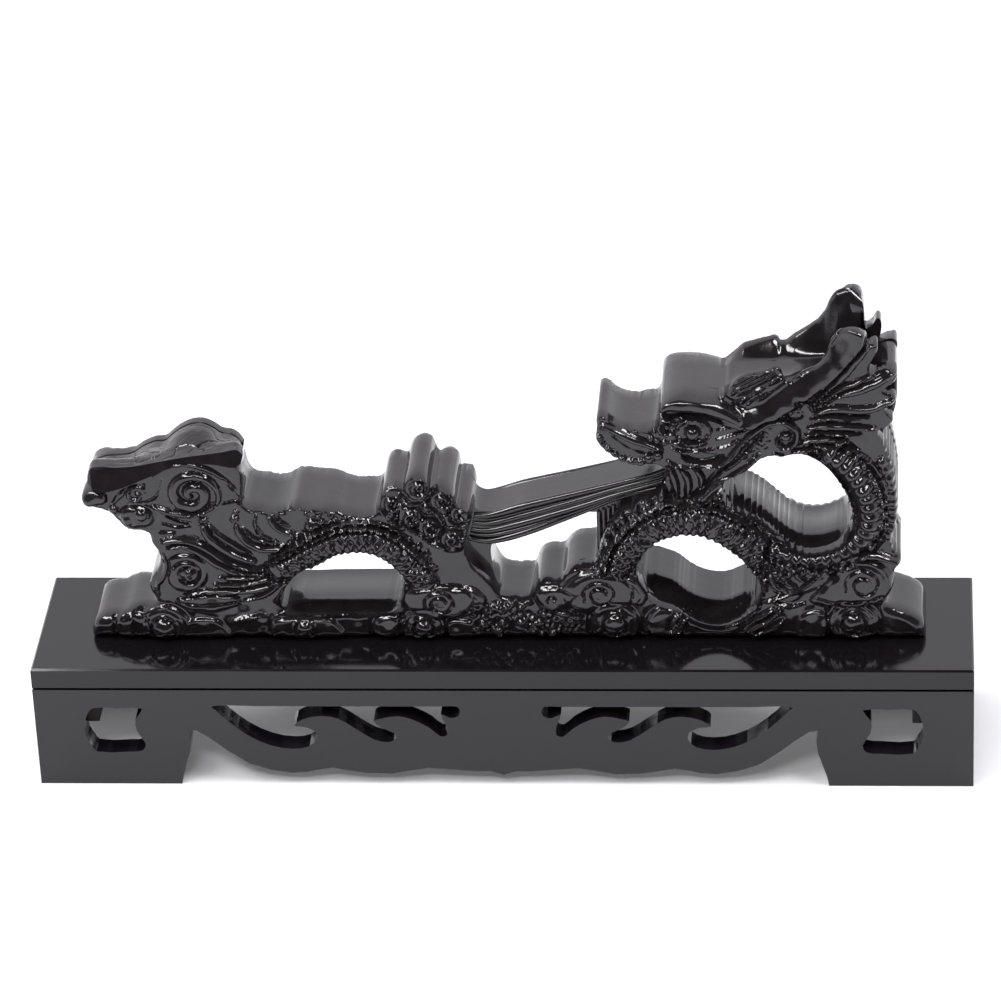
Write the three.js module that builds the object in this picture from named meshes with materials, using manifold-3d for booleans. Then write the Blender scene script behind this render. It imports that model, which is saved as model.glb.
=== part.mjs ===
// Dragon rest: a gloss black cast dragon standing on a lacquered board with fretwork aprons.
// Millimetres, +Z up, origin on the table under the middle of the stand, -Y is the carved front.
import * as THREE from 'three';
import { mergeVertices } from 'three/addons/utils/BufferGeometryUtils.js';
import Module from 'manifold-3d';

const wasm = await Module();
wasm.setup();

// ---- driving dimensions -------------------------------------------------
const STAND_LENGTH = 360;
const STAND_DEPTH = 69;
const STAND_HEIGHT = 52;
const SHEET = 9;                 // one sheet thickness serves the board and all four aprons
const GAP = 0.3;                 // glue line between touching pieces
const BOARD_EASE = 0.7;          // softened edge of the board

const CASTING_FRONT = -13.5;     // the dragon stands nearer the back edge of the board
const CASTING_DEPTH = 34;
const SKIN_DEPTH = 8.5;          // depth of each outer layer that carries horns, ears and mane
const CREST_DEPTH = 20;

const BLOCK = 14;                // corner glue block, square
const BLOCK_HEIGHT = 20;
const SCREW_SIDES = 20;

const BOARD_TOP = STAND_HEIGHT;
const BOARD_UNDERSIDE = STAND_HEIGHT - SHEET;
const APRON_TOP = BOARD_UNDERSIDE - GAP;
const CASTING_BOTTOM = BOARD_TOP + GAP;
const CASTING_BACK = CASTING_FRONT + CASTING_DEPTH;

const DRAGON_SCREW_X = [-112, -22, 132];
const DRAGON_SCREW_Y = CASTING_FRONT + CASTING_DEPTH / 2;
const dragonScrew = { shank: 2, head: 4, sink: 2.4, length: 19, into: 10 };
const cornerScrew = { shank: 1.75, head: 3.4, sink: 1.8, length: 25, into: 5 };

// ---- finishes -----------------------------------------------------------
const glossResin = new THREE.MeshStandardMaterial({ color: 0x151315, roughness: 0.12, metalness: 0 });
const boardLacquer = new THREE.MeshStandardMaterial({ color: 0x1b181a, roughness: 0.2, metalness: 0 });
const apronLacquer = new THREE.MeshStandardMaterial({ color: 0x2a2628, roughness: 0.42, metalness: 0 });
const bareWood = new THREE.MeshStandardMaterial({ color: 0xa9875a, roughness: 0.8, metalness: 0 });
const zincSteel = new THREE.MeshStandardMaterial({ color: 0xb6b8ba, roughness: 0.35, metalness: 1 });

// ---- helpers ------------------------------------------------------------
const points = (pairs) => pairs.map(([x, z]) => new THREE.Vector2(x, z));

// A smooth line through the given points, with one more point between each pair of neighbours.
function smoothed(pairs, closed) {
  const ring = pairs.map(([x, z]) => new THREE.Vector3(x, z, 0));
  const curve = new THREE.CatmullRomCurve3(ring, closed, 'centripetal');
  const line = curve.getPoints(2 * (closed ? pairs.length : pairs.length - 1));
  return (closed ? line.slice(0, -1) : line).map((p) => new THREE.Vector2(p.x, p.y));
}

const smoothLoop = (pairs) => smoothed(pairs, true);

// The dragon's outer edge is smooth except for its straight base line, which closes the loop.
const smoothOverBase = (pairs) => smoothed(pairs, false);

// Loops run one way round for an outer edge and the other way round for a hole.
const turned = (loop, clockwise) => (
  THREE.ShapeUtils.isClockWise(loop) === clockwise ? loop : [...loop].reverse()
);

// An upright plate: the outline lies in X and Z, and the plate runs from yFront to yBack.
function plate(outer, holes, yFront, yBack) {
  const shape = new THREE.Shape(turned(outer, false));
  shape.holes = holes.map((hole) => new THREE.Path(turned(hole, true)));
  const geometry = new THREE.ExtrudeGeometry(shape, { depth: yBack - yFront, bevelEnabled: false });
  geometry.rotateX(Math.PI / 2);
  geometry.translate(0, yBack, 0);
  return geometry;
}

function toSolid(geometry) {
  const bare = geometry.clone();
  bare.deleteAttribute('normal');
  bare.deleteAttribute('uv');
  const merged = mergeVertices(bare, 1e-3);
  return new wasm.Manifold(new wasm.Mesh({
    numProp: 3,
    vertProperties: Float32Array.from(merged.attributes.position.array),
    triVerts: Uint32Array.from(merged.index.array),
  }));
}

function toGeometry(solid) {
  const mesh = solid.getMesh();
  const geometry = new THREE.BufferGeometry();
  geometry.setAttribute('position', new THREE.BufferAttribute(new Float32Array(mesh.vertProperties), 3));
  geometry.setIndex(new THREE.BufferAttribute(new Uint32Array(mesh.triVerts), 1));
  geometry.computeVertexNormals();
  return geometry;
}

const joined = (geometries) => geometries.map(toSolid).reduce((all, solid) => all.add(solid));
const drilled = (solid, tools) => tools.map(toSolid).reduce((rest, tool) => rest.subtract(tool), solid);

// A turned piece on an upright axis; the profile is given from its foot to its top.
function uprightLathe(profile, x, y, z) {
  const geometry = new THREE.LatheGeometry(points(profile), SCREW_SIDES);
  geometry.rotateX(Math.PI / 2);
  geometry.translate(x, y, z);
  return geometry;
}

function named(name, geometry, material) {
  const mesh = new THREE.Mesh(geometry, material);
  mesh.name = name;
  return mesh;
}

const mirrored = (pairs) => pairs.map(([x, z]) => [-x, z]).reverse();

// ---- the dragon: outlines are X and height above the board ---------------
const leftSide = [
  [-159, 0], [-158.8, 4], [-157.3, 7.2], [-154.5, 9.2], [-150, 10], [-146, 11], [-143, 12.5],
  [-138, 13.5], [-133.5, 15], [-132.8, 17.5], [-134.2, 20], [-135, 23], [-134.2, 26.5],
  [-131.8, 30], [-130, 34], [-129.8, 37], [-131, 40], [-132.8, 43], [-133, 46], [-134.5, 47.7],
  [-138, 47.9], [-142, 49], [-144.5, 51.5], [-146.5, 54.8], [-150.5, 57.5], [-155, 58.6],
  [-157.6, 61], [-157.6, 64], [-155, 66.5], [-151, 67.2],
];
const headTopLeft = [
  [-146.5, 66.6], [-140, 68.5], [-130, 71], [-118, 72], [-106, 71], [-100, 69], [-98.2, 65], [-97, 60],
];
const saddleAndPlume = [
  [-94, 57], [-90, 57], [-86, 55.6], [-80, 57], [-76, 59.3], [-72, 58], [-66, 57.8], [-61, 57],
  [-58, 55.2], [-52, 54.5], [-47, 54.6], [-45, 57], [-43.8, 62.5], [-42.5, 65.8], [-40, 67],
  [-37, 66.4], [-35.4, 65.4], [-34.4, 69.5], [-32, 72.5], [-28.8, 73.2], [-26, 71.4], [-24.8, 66.6],
  [-22, 67.6], [-18.4, 67], [-15.9, 64], [-15.2, 59], [-12.8, 59], [-10.4, 57.8], [-9.4, 54.5],
];
const frontNotch = [
  [-10.5, 50], [-12.3, 44], [-12.6, 38], [-10.5, 32.5], [-6.5, 28], [-3, 23], [0, 18.4], [6, 17.4],
  [11.6, 17.8], [13, 21], [15.4, 24.6], [19, 25.6], [23, 25.2], [25, 28], [28, 30.6], [32, 31.6],
  [36.5, 31.6], [38.8, 35], [40.5, 39], [43, 42.4], [46, 46], [50, 50.2], [55, 54.4], [59.5, 57.4],
  [62.5, 61], [64.5, 65], [65, 70], [63.8, 74.5],
];
const barTop = [[-6, 52.4], [0, 53], [10, 56.2], [18, 58.2], [35, 62.6], [55, 68.2], [62.5, 71], [64, 74]];
const jawAndSnout = [
  [61.5, 76.8], [57, 76.4], [50, 77.8], [46, 80], [42, 83.4], [39, 87], [38.7, 90.5], [39.2, 93],
  [38.8, 96.4], [40.4, 97.8], [42.6, 97], [45, 94.5], [49, 92.3], [54, 91.5], [58.5, 92.1],
  [61.6, 93.6], [62.6, 98], [63, 103], [66, 106], [70, 107.2], [74, 107.2], [80, 106.2], [86, 105.6],
];
const earAndHorn = [
  [88, 108.4], [91.5, 113.4], [95.5, 115.6], [100, 116.2], [104, 117.6], [107, 119], [108.6, 117],
  [109.4, 113.4], [112, 112.2], [116, 115.2], [120, 117.8], [124, 121.6], [126.3, 126], [128, 131],
  [130.6, 134.6], [134, 136], [137.4, 134.6], [139.3, 131], [138.8, 127.2], [140.6, 126.4],
  [143.4, 128.4], [144.3, 126], [142.6, 121.4], [140.4, 117], [143, 115], [147.5, 117.4],
  [150.8, 117], [151.4, 113.6], [148.5, 110], [146, 108], [149, 107.2], [151, 105.2],
  [150, 102.4], [146.6, 100.6], [147.6, 98.8], [150, 96], [148.4, 93], [144, 91.2],
];
const headTopMiddle = [
  [91, 107.2], [100, 108.4], [112, 109], [124, 110], [132, 111.6], [140, 113.4], [146.5, 116.4],
  [150.4, 116.6], [151.2, 108], [150.6, 98], [148.6, 92],
];
const rightSide = [
  [145.6, 87], [147.6, 82], [149.6, 75], [151, 66], [151.3, 58], [150.5, 50], [148.8, 44.6],
  [150, 39], [152.6, 36.4], [152.4, 33.4], [149.8, 30.6], [150, 26], [149.2, 22], [147, 18.8],
  [147, 14.8], [150, 12.8], [155, 11], [160, 8], [161.8, 4.6], [162, 0],
];

const archHole = [
  [-85, 13.5], [-84, 19], [-80, 26], [-75, 30], [-70, 32], [-65, 35.3], [-60, 37.5], [-53, 39],
  [-49, 38.5], [-45, 36.6], [-41, 33.5], [-37.4, 28.5], [-36.6, 24.5], [-38, 20], [-38.8, 15.5],
  [-42, 12.4], [-50, 12], [-66, 11.8], [-80, 11.6],
];
const waveHole = [
  [-3.2, 38.4], [0, 39.4], [10, 42.4], [25, 48.4], [33, 51.8], [37.6, 52.4], [38, 45], [37.6, 35],
  [36, 31.6], [32, 31.6], [28, 30.6], [25, 28], [23, 25.2], [19, 25.6], [15.4, 24.6], [13, 21],
  [11.6, 17.8], [6, 17.4], [0, 18.4], [-2.2, 23], [-3.2, 30],
];
const bodyHole = [
  [52, 30], [53.2, 34], [58, 41], [63, 44.6], [70, 46.4], [76, 46], [83, 42.6], [91, 36],
  [96, 29.6], [99, 24.6], [99.2, 19], [96, 13.5], [91, 9.2], [84, 6.4], [77, 7.4], [71, 11],
  [67, 14.8], [60, 17.6], [55.6, 22],
];
const neckHole = [
  [97, 75.5], [100, 79], [106, 80.4], [116, 80.8], [122, 78.2], [127, 72.5], [131, 66], [134.2, 57.5],
  [134.4, 50.5], [131, 44.4], [125, 40.8], [118, 39.5], [112, 41.5], [106, 47], [99, 53.4],
  [92, 57], [88, 58.4], [85.8, 62], [85.4, 66.6], [88, 70.2], [92.5, 72],
];
const crestOutline = [
  [-149.6, 69.6], [-152.6, 73], [-152, 76], [-148, 77.2], [-140, 77.6], [-133.5, 79.4], [-128.5, 82.6],
  [-120, 85.8], [-112, 87], [-105, 85.6], [-100, 83.4], [-96.6, 83.8], [-95.6, 80], [-96.4, 72],
  [-99, 66], [-120, 66], [-142, 64],
];

const skinOutline = [
  ...leftSide, ...headTopLeft, ...saddleAndPlume, ...frontNotch, ...jawAndSnout, ...earAndHorn, ...rightSide,
];
const coreOutline = [
  ...leftSide, ...headTopLeft, ...saddleAndPlume, ...barTop, ...jawAndSnout, ...headTopMiddle, ...rightSide,
];

// Round bosses and cloud scrolls that stand proud of both carved faces: x, height, radius.
const SCROLL_RISE = 1.2;
const scrolls = [
  [-115, 63.5, 11], [-121, 29.5, 8], [-22.5, 17, 8], [39, 21, 8], [138.5, 25.5, 7.6],
  [-130.5, 5.6, 5.4], [-75.5, 5.4, 4.2], [-29, 5.6, 4.2], [43, 7.5, 4.6], [133, 8, 4.6],
  [-39, 60, 4.4], [-28.5, 67, 4.8], [-20, 61, 4.6], [75, 91, 5.4],
];

function scrollBosses(yInner, yOuter) {
  return scrolls.map(([x, z, radius]) => {
    const depth = Math.abs(yOuter - yInner);
    const boss = new THREE.CylinderGeometry(radius, radius, depth, 20);
    boss.translate(x, (yInner + yOuter) / 2, z);
    return boss;
  });
}

function dragonCasting() {
  const skin = smoothOverBase(skinOutline);
  const core = smoothOverBase(coreOutline);
  const skinHoles = [archHole, bodyHole, neckHole].map(smoothLoop);
  const coreHoles = [archHole, waveHole, bodyHole, neckHole].map(smoothLoop);
  const layers = [
    plate(skin, skinHoles, CASTING_FRONT, CASTING_FRONT + SKIN_DEPTH),
    plate(core, coreHoles, CASTING_FRONT + SKIN_DEPTH, CASTING_BACK - SKIN_DEPTH),
    plate(skin, skinHoles, CASTING_BACK - SKIN_DEPTH, CASTING_BACK),
    plate(smoothLoop(crestOutline), [], CASTING_FRONT, CASTING_FRONT + CREST_DEPTH),
    ...scrollBosses(CASTING_FRONT - SCROLL_RISE, CASTING_FRONT + 2),
    ...scrollBosses(CASTING_BACK + SCROLL_RISE, CASTING_BACK - 2),
  ];
  const pilotRadius = dragonScrew.shank + GAP;
  const pilotDepth = dragonScrew.into + 1;
  const pilots = DRAGON_SCREW_X.map((x) => {
    const profile = [[0, -1], [pilotRadius, -1], [pilotRadius, pilotDepth], [0, pilotDepth + 1.5]];
    return uprightLathe(profile, x, DRAGON_SCREW_Y, 0);
  });
  const casting = toGeometry(drilled(joined(layers), pilots));
  casting.translate(0, 0, CASTING_BOTTOM);
  return casting;
}

// ---- the stand ----------------------------------------------------------
function topBoard() {
  const w = STAND_LENGTH / 2 - BOARD_EASE;
  const d = STAND_DEPTH / 2 - BOARD_EASE;
  const sheet = new THREE.Shape(points([[-w, -d], [w, -d], [w, d], [-w, d]]));
  const board = new THREE.ExtrudeGeometry(sheet, {
    depth: SHEET - 2 * BOARD_EASE,
    bevelThickness: BOARD_EASE,
    bevelSize: BOARD_EASE,
    bevelSegments: 1,
  });
  board.translate(0, 0, BOARD_UNDERSIDE + BOARD_EASE);
  const clear = dragonScrew.shank + GAP;
  const head = dragonScrew.head + GAP;
  const sink = dragonScrew.sink + GAP;
  const screwHoles = DRAGON_SCREW_X.map((x) => {
    const profile = [[0, -1], [head, -1], [head, 0], [clear, sink], [clear, SHEET + 1], [0, SHEET + 1]];
    return uprightLathe(profile, x, DRAGON_SCREW_Y, BOARD_UNDERSIDE);
  });
  const pilotRadius = cornerScrew.shank + GAP;
  const pilotTop = cornerScrew.into + GAP + 0.5;
  const cornerPilots = cornerPlaces.map(([x, y]) => {
    const profile = [[0, -1], [pilotRadius, -1], [pilotRadius, pilotTop], [0, pilotTop + 0.8]];
    return uprightLathe(profile, x, y, BOARD_UNDERSIDE);
  });
  return toGeometry(drilled(toSolid(board), [...screwHoles, ...cornerPilots]));
}

// Apron outline: X from the middle and height above the table, right half first.
const APRON_END = STAND_LENGTH / 2;
const lowerEdgeRight = [
  [124.9, 0], [124.2, 4], [120.8, 15], [120.2, 20], [120.9, 25], [117.5, 24.4], [112, 20.4], [106, 15.2],
  [98, 9.4], [90, 6.6], [82, 5.2], [76, 5.6], [72, 6.6], [66, 7.6], [60, 6.4], [52, 5.2], [43, 5],
  [36, 6.4], [29, 7.6], [20, 7], [11, 6.2], [5, 6.2],
];
const footSlot = [
  [137.9, 34.3], [141, 29.5], [140.8, 24], [137.8, 18.4], [139.2, 15.3], [145, 14.7], [157.2, 14.8],
  [158.8, 17.4], [160.6, 21], [161, 26], [159.8, 31], [157.4, 34.5], [148, 34.5],
];
// The three curling waves on the left; their crests lean towards the foot.
const waveTop = 35.6;
const waves = [
  [-111.6, waveTop], [-110, 34], [-105, 28.6], [-98, 22.4], [-89.4, 17.8], [-81, 16.2], [-74.4, 17.4],
  [-71.2, 21], [-72, 24.2], [-76, 26.2], [-80, 26.8], [-76.4, 29.6], [-69, 31.2], [-62.7, 30],
  [-56.6, 25.8], [-49.3, 20.6], [-43.8, 19.4], [-40.6, 21.2], [-41.6, 23.6], [-46.4, 26], [-49, 29],
  [-46.3, 30], [-39.6, 31.2], [-33.5, 29.4], [-27.5, 25.8], [-23.4, 22], [-21, 22.8], [-21.2, 27],
  [-23, 32.2], [-19.4, 30.4], [-16.2, 31.4], [-15.6, 34], [-16.8, waveTop], [-23, waveTop],
  [-45, waveTop], [-70, waveTop], [-95, waveTop],
];

function longApron(yFront) {
  const outline = [
    [-APRON_END, APRON_TOP], [-APRON_END, 0], ...mirrored(lowerEdgeRight).reverse(),
    [0, 4.6], ...[...lowerEdgeRight].reverse(), [APRON_END, 0], [APRON_END, APRON_TOP],
  ];
  const holes = [footSlot, mirrored(footSlot), waves, mirrored(waves)].map(smoothLoop);
  return plate(points(outline), holes, yFront, yFront + SHEET);
}

// An end panel fills the width between the long aprons and has a low arch between two feet.
function endPanel(side) {
  const half = STAND_DEPTH / 2 - SHEET - GAP;
  const foot = half - 9;
  const archTop = 12;
  const outline = new THREE.Shape();
  outline.moveTo(-half, 0);
  outline.lineTo(-foot, 0);
  outline.bezierCurveTo(-foot + 3, archTop, -foot + 6, archTop, 0, archTop);
  outline.bezierCurveTo(foot - 6, archTop, foot - 3, archTop, foot, 0);
  outline.lineTo(half, 0);
  outline.lineTo(half, APRON_TOP);
  outline.lineTo(-half, APRON_TOP);
  const panel = new THREE.ExtrudeGeometry(outline, { depth: SHEET, bevelEnabled: false, curveSegments: 6 });
  panel.rotateX(Math.PI / 2);
  panel.rotateZ(Math.PI / 2);
  panel.translate(side > 0 ? APRON_END - SHEET : -APRON_END, 0, 0);
  return panel;
}

// ---- corners: glue block and screw --------------------------------------
const cornerX = STAND_LENGTH / 2 - SHEET - GAP - BLOCK / 2;
const cornerY = STAND_DEPTH / 2 - SHEET - GAP - BLOCK / 2;
const cornerPlaces = [[-cornerX, -cornerY], [cornerX, -cornerY], [-cornerX, cornerY], [cornerX, cornerY]];
const cornerNames = ['front_left', 'front_right', 'rear_left', 'rear_right'];
const BLOCK_BOTTOM = APRON_TOP - BLOCK_HEIGHT;

function cornerBlock(x, y) {
  const block = new THREE.BoxGeometry(BLOCK, BLOCK, BLOCK_HEIGHT);
  block.translate(x, y, BLOCK_BOTTOM + BLOCK_HEIGHT / 2);
  const clear = cornerScrew.shank + GAP;
  const head = cornerScrew.head + GAP;
  const top = BLOCK_HEIGHT + 1;
  const profile = [[0, -1], [head, -1], [head, 0], [clear, cornerScrew.sink + GAP], [clear, top], [0, top]];
  return toGeometry(drilled(toSolid(block), [uprightLathe(profile, x, y, BLOCK_BOTTOM)]));
}

// A countersunk screw standing on its head, with a cross recess and a pointed tip.
function countersunkScrew(screw, x, y, z) {
  const { shank, head, sink, length } = screw;
  const profile = [[0, 0], [head, 0], [shank, sink], [shank, length - 2.5], [0, length]];
  const body = toSolid(uprightLathe(profile, x, y, z));
  const slots = [[head, 0.9], [0.9, head]].map(([along, across]) => {
    const slot = new THREE.BoxGeometry(along, across, 2.2);
    slot.translate(x, y, z);
    return slot;
  });
  return toGeometry(drilled(body, slots));
}

// ---- assembly -----------------------------------------------------------
const group = new THREE.Group();
group.add(named('dragon_casting', dragonCasting(), glossResin));
group.add(named('top_board', topBoard(), boardLacquer));
group.add(named('front_apron', longApron(-STAND_DEPTH / 2), apronLacquer));
group.add(named('rear_apron', longApron(STAND_DEPTH / 2 - SHEET), apronLacquer));
group.add(named('left_end_panel', endPanel(-1), apronLacquer));
group.add(named('right_end_panel', endPanel(1), apronLacquer));
cornerPlaces.forEach(([x, y], i) => {
  group.add(named(`corner_block_${cornerNames[i]}`, cornerBlock(x, y), bareWood));
  const screw = countersunkScrew(cornerScrew, x, y, BLOCK_BOTTOM + GAP / 3);
  group.add(named(`corner_screw_${cornerNames[i]}`, screw, zincSteel));
});
['left', 'middle', 'right'].forEach((place, i) => {
  const screw = countersunkScrew(dragonScrew, DRAGON_SCREW_X[i], DRAGON_SCREW_Y, BOARD_UNDERSIDE + GAP / 3);
  group.add(named(`dragon_screw_${place}`, screw, zincSteel));
});

export default group;
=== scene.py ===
# %% [markdown]
# # A gloss black dragon rest on a fretwork stand
#
# The real object is a desk rest. A cast dragon, carved in shallow relief on its two faces, is screwed on a
# lacquered board, and the board stands on aprons that are cut as curling waves. The design itself, with
# every size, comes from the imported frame. This script only makes the fine surface: the carving, the
# finishes, and the light that shows them.

import math

import bpy
import numpy as np
from mathutils import Matrix, Vector
from mathutils.geometry import delaunay_2d_cdt


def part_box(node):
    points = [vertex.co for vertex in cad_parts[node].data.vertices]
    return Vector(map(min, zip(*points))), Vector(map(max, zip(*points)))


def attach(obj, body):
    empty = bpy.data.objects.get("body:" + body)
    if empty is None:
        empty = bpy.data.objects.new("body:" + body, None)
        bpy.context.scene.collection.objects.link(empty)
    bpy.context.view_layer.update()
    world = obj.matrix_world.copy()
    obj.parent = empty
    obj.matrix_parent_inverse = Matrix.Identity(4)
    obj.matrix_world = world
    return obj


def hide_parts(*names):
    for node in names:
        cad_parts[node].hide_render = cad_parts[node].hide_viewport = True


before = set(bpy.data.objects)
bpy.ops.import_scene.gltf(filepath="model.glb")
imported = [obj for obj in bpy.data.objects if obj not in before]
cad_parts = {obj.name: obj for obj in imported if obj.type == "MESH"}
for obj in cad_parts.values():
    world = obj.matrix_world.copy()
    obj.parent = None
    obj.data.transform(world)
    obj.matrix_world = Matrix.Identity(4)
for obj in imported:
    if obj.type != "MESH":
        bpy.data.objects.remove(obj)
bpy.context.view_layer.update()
MM = 0.001

# %% [markdown]
# ## Where the carving sits
#
# A carver works on a plank with the drawing lying flat on it. We do the same: every stroke of the carving is
# given as a place along the board and a height above it, in millimetres. The casting tells where its base,
# its front and its back are.

# %% The plank
casting_low, casting_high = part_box("dragon_casting")
board_low, board_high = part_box("top_board")
BASE = casting_low.z / MM                 # height of the casting's foot above the table
BOSS_RISE = 1.2                           # the frame's round bosses stand this far proud
FACE_FRONT = casting_low.y / MM + BOSS_RISE
FACE_BACK = casting_high.y / MM - BOSS_RISE
SKIN = 8.5                                # depth of the outer layers that carry horns and mane
GRID = 0.5                                # step of the carved surface
print("casting front", round(FACE_FRONT, 2), "back", round(FACE_BACK, 2), "foot", round(BASE, 2),
      "on a board", round((board_high.y - board_low.y) / MM, 1), "deep")


def slice_loops(node, y_mm):
    """Cut a frame node by the upright plane at y. Each triangle that crosses it gives one short line, and
    lines that share an end are strung into closed loops of (x, z) in millimetres."""
    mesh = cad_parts[node].data
    mesh.calc_loop_triangles()
    points = np.zeros(len(mesh.vertices) * 3)
    mesh.vertices.foreach_get("co", points)
    points = points.reshape(-1, 3) / MM
    corners = np.zeros(len(mesh.loop_triangles) * 3, np.int32)
    mesh.loop_triangles.foreach_get("vertices", corners)
    triangles = points[corners.reshape(-1, 3)]
    above = triangles[:, :, 1] > y_mm
    crossing = triangles[above.any(1) & ~above.all(1)]
    links = {}
    for triangle in crossing:
        ends = []
        for a, b in ((0, 1), (1, 2), (2, 0)):
            if (triangle[a, 1] > y_mm) != (triangle[b, 1] > y_mm):
                t = (y_mm - triangle[a, 1]) / (triangle[b, 1] - triangle[a, 1])
                p = triangle[a] + t * (triangle[b] - triangle[a])
                ends.append((round(p[0], 2), round(p[2], 2)))
        if len(ends) == 2 and ends[0] != ends[1]:
            links.setdefault(ends[0], []).append(ends[1])
            links.setdefault(ends[1], []).append(ends[0])
    loops = []
    while links:
        start = here = next(iter(links))
        loop = []
        while here in links and links[here]:
            loop.append(here)
            onward = links[here].pop()
            links[onward].remove(here)
            if not links[here]:
                del links[here]
            here = onward
        links = {k: v for k, v in links.items() if v}
        if here == start and len(loop) > 5:
            loops.append(np.array(loop))
    return sorted(loops, key=lambda loop: -abs(loop_area(loop)))


def loop_area(loop):
    """Half the sum of x·z' - x'·z around the loop: positive when it runs anticlockwise."""
    nxt = np.roll(loop, -1, 0)
    return 0.5 * float(np.sum(loop[:, 0] * nxt[:, 1] - nxt[:, 0] * loop[:, 1]))


def eased_loop(loop, step=GRID, blur=1.1):
    """Walk the loop in equal steps, then average each point with its neighbours under a bell curve of width
    `blur`, so that short facets become one flowing edge. Points on the foot of the casting keep their
    height."""
    closed = np.vstack([loop, loop[:1]])
    run = np.concatenate([[0], np.cumsum(np.linalg.norm(np.diff(closed, axis=0), axis=1))])
    count = int(run[-1] / step)
    at = np.linspace(0, run[-1], count, endpoint=False)
    even = np.stack([np.interp(at, run, closed[:, k]) for k in (0, 1)], 1)
    reach = int(3 * blur / step)
    weights = np.exp(-0.5 * (np.arange(-reach, reach + 1) * step / blur) ** 2)
    weights /= weights.sum()
    eased = sum(w * np.roll(even, k, 0) for w, k in zip(weights, range(-reach, reach + 1)))
    on_foot = even[:, 1] < even[:, 1].min() + 0.02
    eased[on_foot, 1] = even[on_foot, 1]
    return eased


skin_front_loops = slice_loops("dragon_casting", FACE_FRONT + 4.2)
core_loops = slice_loops("dragon_casting", (FACE_FRONT + FACE_BACK) / 2 + 5)
skin_back_loops = slice_loops("dragon_casting", FACE_BACK - 4.2)
print("loops front/core/back:", len(skin_front_loops), len(core_loops), len(skin_back_loops))

# %% [markdown]
# ## A bench for carving
#
# Relief carving is a height over a plane, so the bench is a grid of heights, four cells to the millimetre.
# Every tool is a stamp that is carried along a path: a round-nosed one raises a strand, a veiner cuts a
# groove, a punch sets a scale. Three sheets are kept apart: the form, the small texture that rides on the
# form, and the grooves. They are added at the end, and a light blur stands for the coats of lacquer that
# soften every corner.


# %% The carving bench
def smooth_path(points, step=0.25):
    """A curve through the points: on each span, the cubic whose slopes at its ends are half the chord between
    the neighbours, sampled about every `step` millimetres."""
    p = np.array(points, float)
    p = np.vstack([2 * p[0] - p[1], p, 2 * p[-1] - p[-2]])
    spans = []
    for a, b, c, d in zip(p[:-3], p[1:-2], p[2:-1], p[3:]):
        n = max(2, int(np.linalg.norm(c - b) / step))
        t = np.linspace(0, 1, n, endpoint=False)[:, None]
        spans.append(0.5 * (2 * b + (c - a) * t + (2 * a - 5 * b + 4 * c - d) * t**2
                            + (3 * b - a - 3 * c + d) * t**3))
    return np.vstack([*spans, p[-2:-1]])


def spiral_path(x, h, radius, turns, start_deg=0.0, hand=1, inner=0.12, squash=1.0):
    """A scroll: the radius shrinks evenly from `radius` to `inner` of it while the angle turns."""
    t = np.linspace(0, 1, int(60 * turns) + 8)
    angle = math.radians(start_deg) + hand * 2 * math.pi * turns * t
    r = radius * (1 + (inner - 1) * t)
    return np.stack([x + r * np.cos(angle), h + squash * r * np.sin(angle)], 1)


def ring_path(x, h, radius, squash=1.0, tilt_deg=0.0):
    """A circle, or an ellipse of height squash and tilt."""
    t = np.linspace(0, 2 * math.pi, int(24 + radius * 24))
    c, s = math.cos(math.radians(tilt_deg)), math.sin(math.radians(tilt_deg))
    u, v = radius * np.cos(t), squash * radius * np.sin(t)
    return np.stack([x + u * c - v * s, h + u * s + v * c], 1)


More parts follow.
